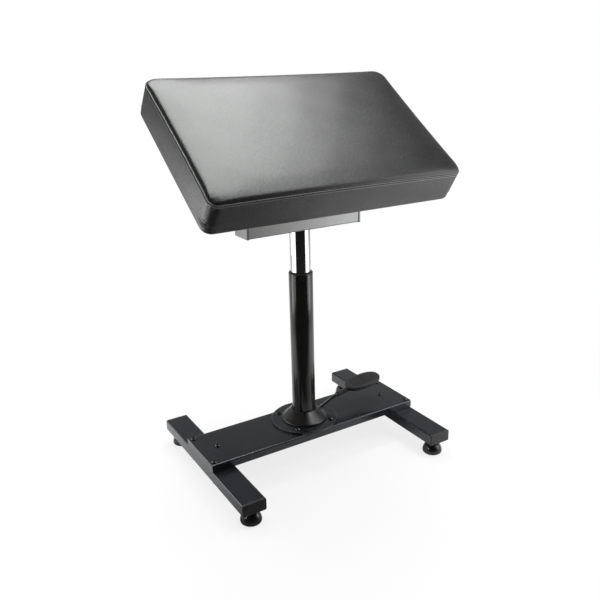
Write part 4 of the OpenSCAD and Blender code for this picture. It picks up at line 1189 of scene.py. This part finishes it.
def floor_paint():
    """Matt white. In reflections only it is painted dark, a painted reflection of shade, 0.18 to
    0.45 m out towards the camera and 0.20 to 0.33 m in front of the middle, less to the right. To the
    camera it glows, wholly so beyond 1.3 m, so its shadows are faint."""
    material, tree, shader = finish("pale_floor", SHEET_WHITE, 0.9, specular=0.1)
    spot = lie(tree)
    path = add(tree, "LightPath")
    far = add(tree, "VectorMath", {0: spot}, operation="LENGTH").outputs["Value"]
    split = add(tree, "SeparateXYZ", {"Vector": spot})
    in_front = spread(tree, split.outputs["Y"], 1, 0, start=-0.33, end=-0.20)
    to_the_right = spread(tree, split.outputs["X"], 1, 0, start=-0.10, end=0.40)
    # Painted dark reflection: in reflections only, these parts of the floor are painted dark.
    painted_dark_patch = sums(tree, "MULTIPLY", in_front, to_the_right)
    painted_dark_towards_camera = spread(tree, length_along(tree, spot, TO_CAMERA), 0, 1, start=0.18, end=0.45)
    dark = sums(tree, "MAXIMUM", painted_dark_towards_camera, painted_dark_patch)
    dark = sums(tree, "MULTIPLY", dark, path.outputs["Is Glossy Ray"])
    tones(tree, shader, dark, SHEET_WHITE, (0.02, 0.02, 0.02))
    glow_share = spread(tree, far, 0.80, 1, start=0.5, end=1.3)
    share = sums(tree, "MULTIPLY", glow_share, path.outputs["Is Camera Ray"])
    glow = add(tree, "Emission", {"Color": (1, 1, 1, 1), "Strength": 1.0})
    mixed = add(tree, "MixShader", {0: share, 1: shader.outputs[0], 2: glow.outputs[0]})
    tree.links.new(mixed.outputs[0], tree.nodes["Material Output"].inputs["Surface"])
    return material


floor = pale_floor()
floor.data.materials.append(floor_paint())


def soft_box(name, place, aim, size, radiance):
    """A rectangular soft light at a place, aimed at a point. Its power is its radiance times pi
    times its area."""
    light = bpy.data.lights.new(name, "AREA")
    light.shape = "RECTANGLE"
    light.size, light.size_y = size
    light.energy = radiance * math.pi * size[0] * size[1]
    lamp = bpy.data.objects.new(name, light)
    lamp.location = place
    lamp.rotation_euler = (Vector(aim) - Vector(place)).to_track_quat("-Z", "Y").to_euler()
    bpy.context.scene.collection.objects.link(lamp)


def reflector(name, start, end, low, height, radiance):
    """An upright soft box that stands over the line from a start to an end on the floor, and shines
    to the left of that line."""
    (x0, y0), (x1, y1) = start, end
    middle = ((x0 + x1) / 2, (y0 + y1) / 2, low + height / 2)
    aim = (middle[0] - (y1 - y0), middle[1] + (x1 - x0), middle[2])
    soft_box(name, middle, aim, (math.hypot(x1 - x0, y1 - y0), height), radiance)


soft_box("soft_box_overhead", (0.18, 0.34, 2.4), (0.18, 0.34, 0), (1.68, 1.68), 7.8)
soft_box("soft_box_key", (0.75, -0.95, 2.3), (0, 0, 0.1), (0.6, 0.6), 8.0)
reflector("reflector_right", (0.45, -0.84), (0.94, -0.23), 0.08, 1.2, 1.4)
reflector("strip_right", (0.64, -0.70), (0.79, -0.54), 0.08, 1.2, 2.0)
reflector("reflector_left", (-0.70, 0.56), (-1.05, -0.15), 0.08, 0.62, 1.75)
reflector("strip_left", (-0.70, 0.56), (-0.84, 0.275), 0.08, 0.62, 0.95)
reflector("strip_front_left", (-1.05, -0.15), (-1.12, -0.32), 0.42, 0.20, 8.5)
reflector("strip_back_left", (-0.74, 1.51), (-1.22, 1.02), 0.10, 0.72, 1.25)


def dim_room():
    """A world that is white to the camera. To all else it is dim on the camera's side, half bright
    behind the object, and fades upwards."""
    world = bpy.data.worlds.new("dim_room")
    world.use_nodes = True
    room = world.node_tree
    seen = add(room, "LightPath").outputs["Is Camera Ray"]
    way = add(room, "TexCoord").outputs["Generated"]
    behind = spread(room, length_along(room, way, TO_CAMERA), 0.50, 0.015, start=-0.5, end=0.4)
    up = add(room, "SeparateXYZ", {"Vector": way}).outputs["Z"]
    low_glow = sums(room, "MULTIPLY", behind, spread(room, up, 1, 0.15, start=0.3, end=0.65))
    back = room.nodes["Background"]
    back.inputs["Color"].default_value = (1, 1, 1, 1)
    room.links.new(sums(room, "MAXIMUM", low_glow, seen), back.inputs["Strength"])
    return world


bpy.context.scene.world = dim_room()
bpy.context.scene.view_settings.view_transform = "Standard"


# The camera stands where the photograph was taken: 1.9 m off, to the front left, looking
# 19 degrees down.
CAMERA_PLACE = (-0.8292, -1.3882, 0.9782)
CAMERA_HEADING = math.radians(30.732)
CAMERA_DOWN = math.radians(19.100)
CAMERA_ROLL = math.radians(-1.443)
FOCAL_PIXELS = 686.637
FRAME_PIXELS = 600
SENSOR_WIDTH = 36


def photo_camera():
    """A camera from its place, heading, tilt, roll and focal length in pixels of the frame."""
    east, north = math.sin(CAMERA_HEADING), math.cos(CAMERA_HEADING)
    level, fall = math.cos(CAMERA_DOWN), math.sin(CAMERA_DOWN)
    ahead = Vector((east * level, north * level, -fall))
    right = Vector((north, -east, 0))
    up = right.cross(ahead)
    cosine, sine = math.cos(CAMERA_ROLL), math.sin(CAMERA_ROLL)
    turn = Matrix((cosine * right + sine * up, cosine * up - sine * right, -ahead))
    lens = bpy.data.cameras.new("photo_camera")
    lens.sensor_width = SENSOR_WIDTH
    lens.lens = FOCAL_PIXELS / FRAME_PIXELS * SENSOR_WIDTH
    view = bpy.data.objects.new("photo_camera", lens)
    view.matrix_world = Matrix.Translation(CAMERA_PLACE) @ turn.transposed().to_4x4()
    bpy.context.scene.collection.objects.link(view)
    return view


bpy.context.scene.camera = photo_camera()
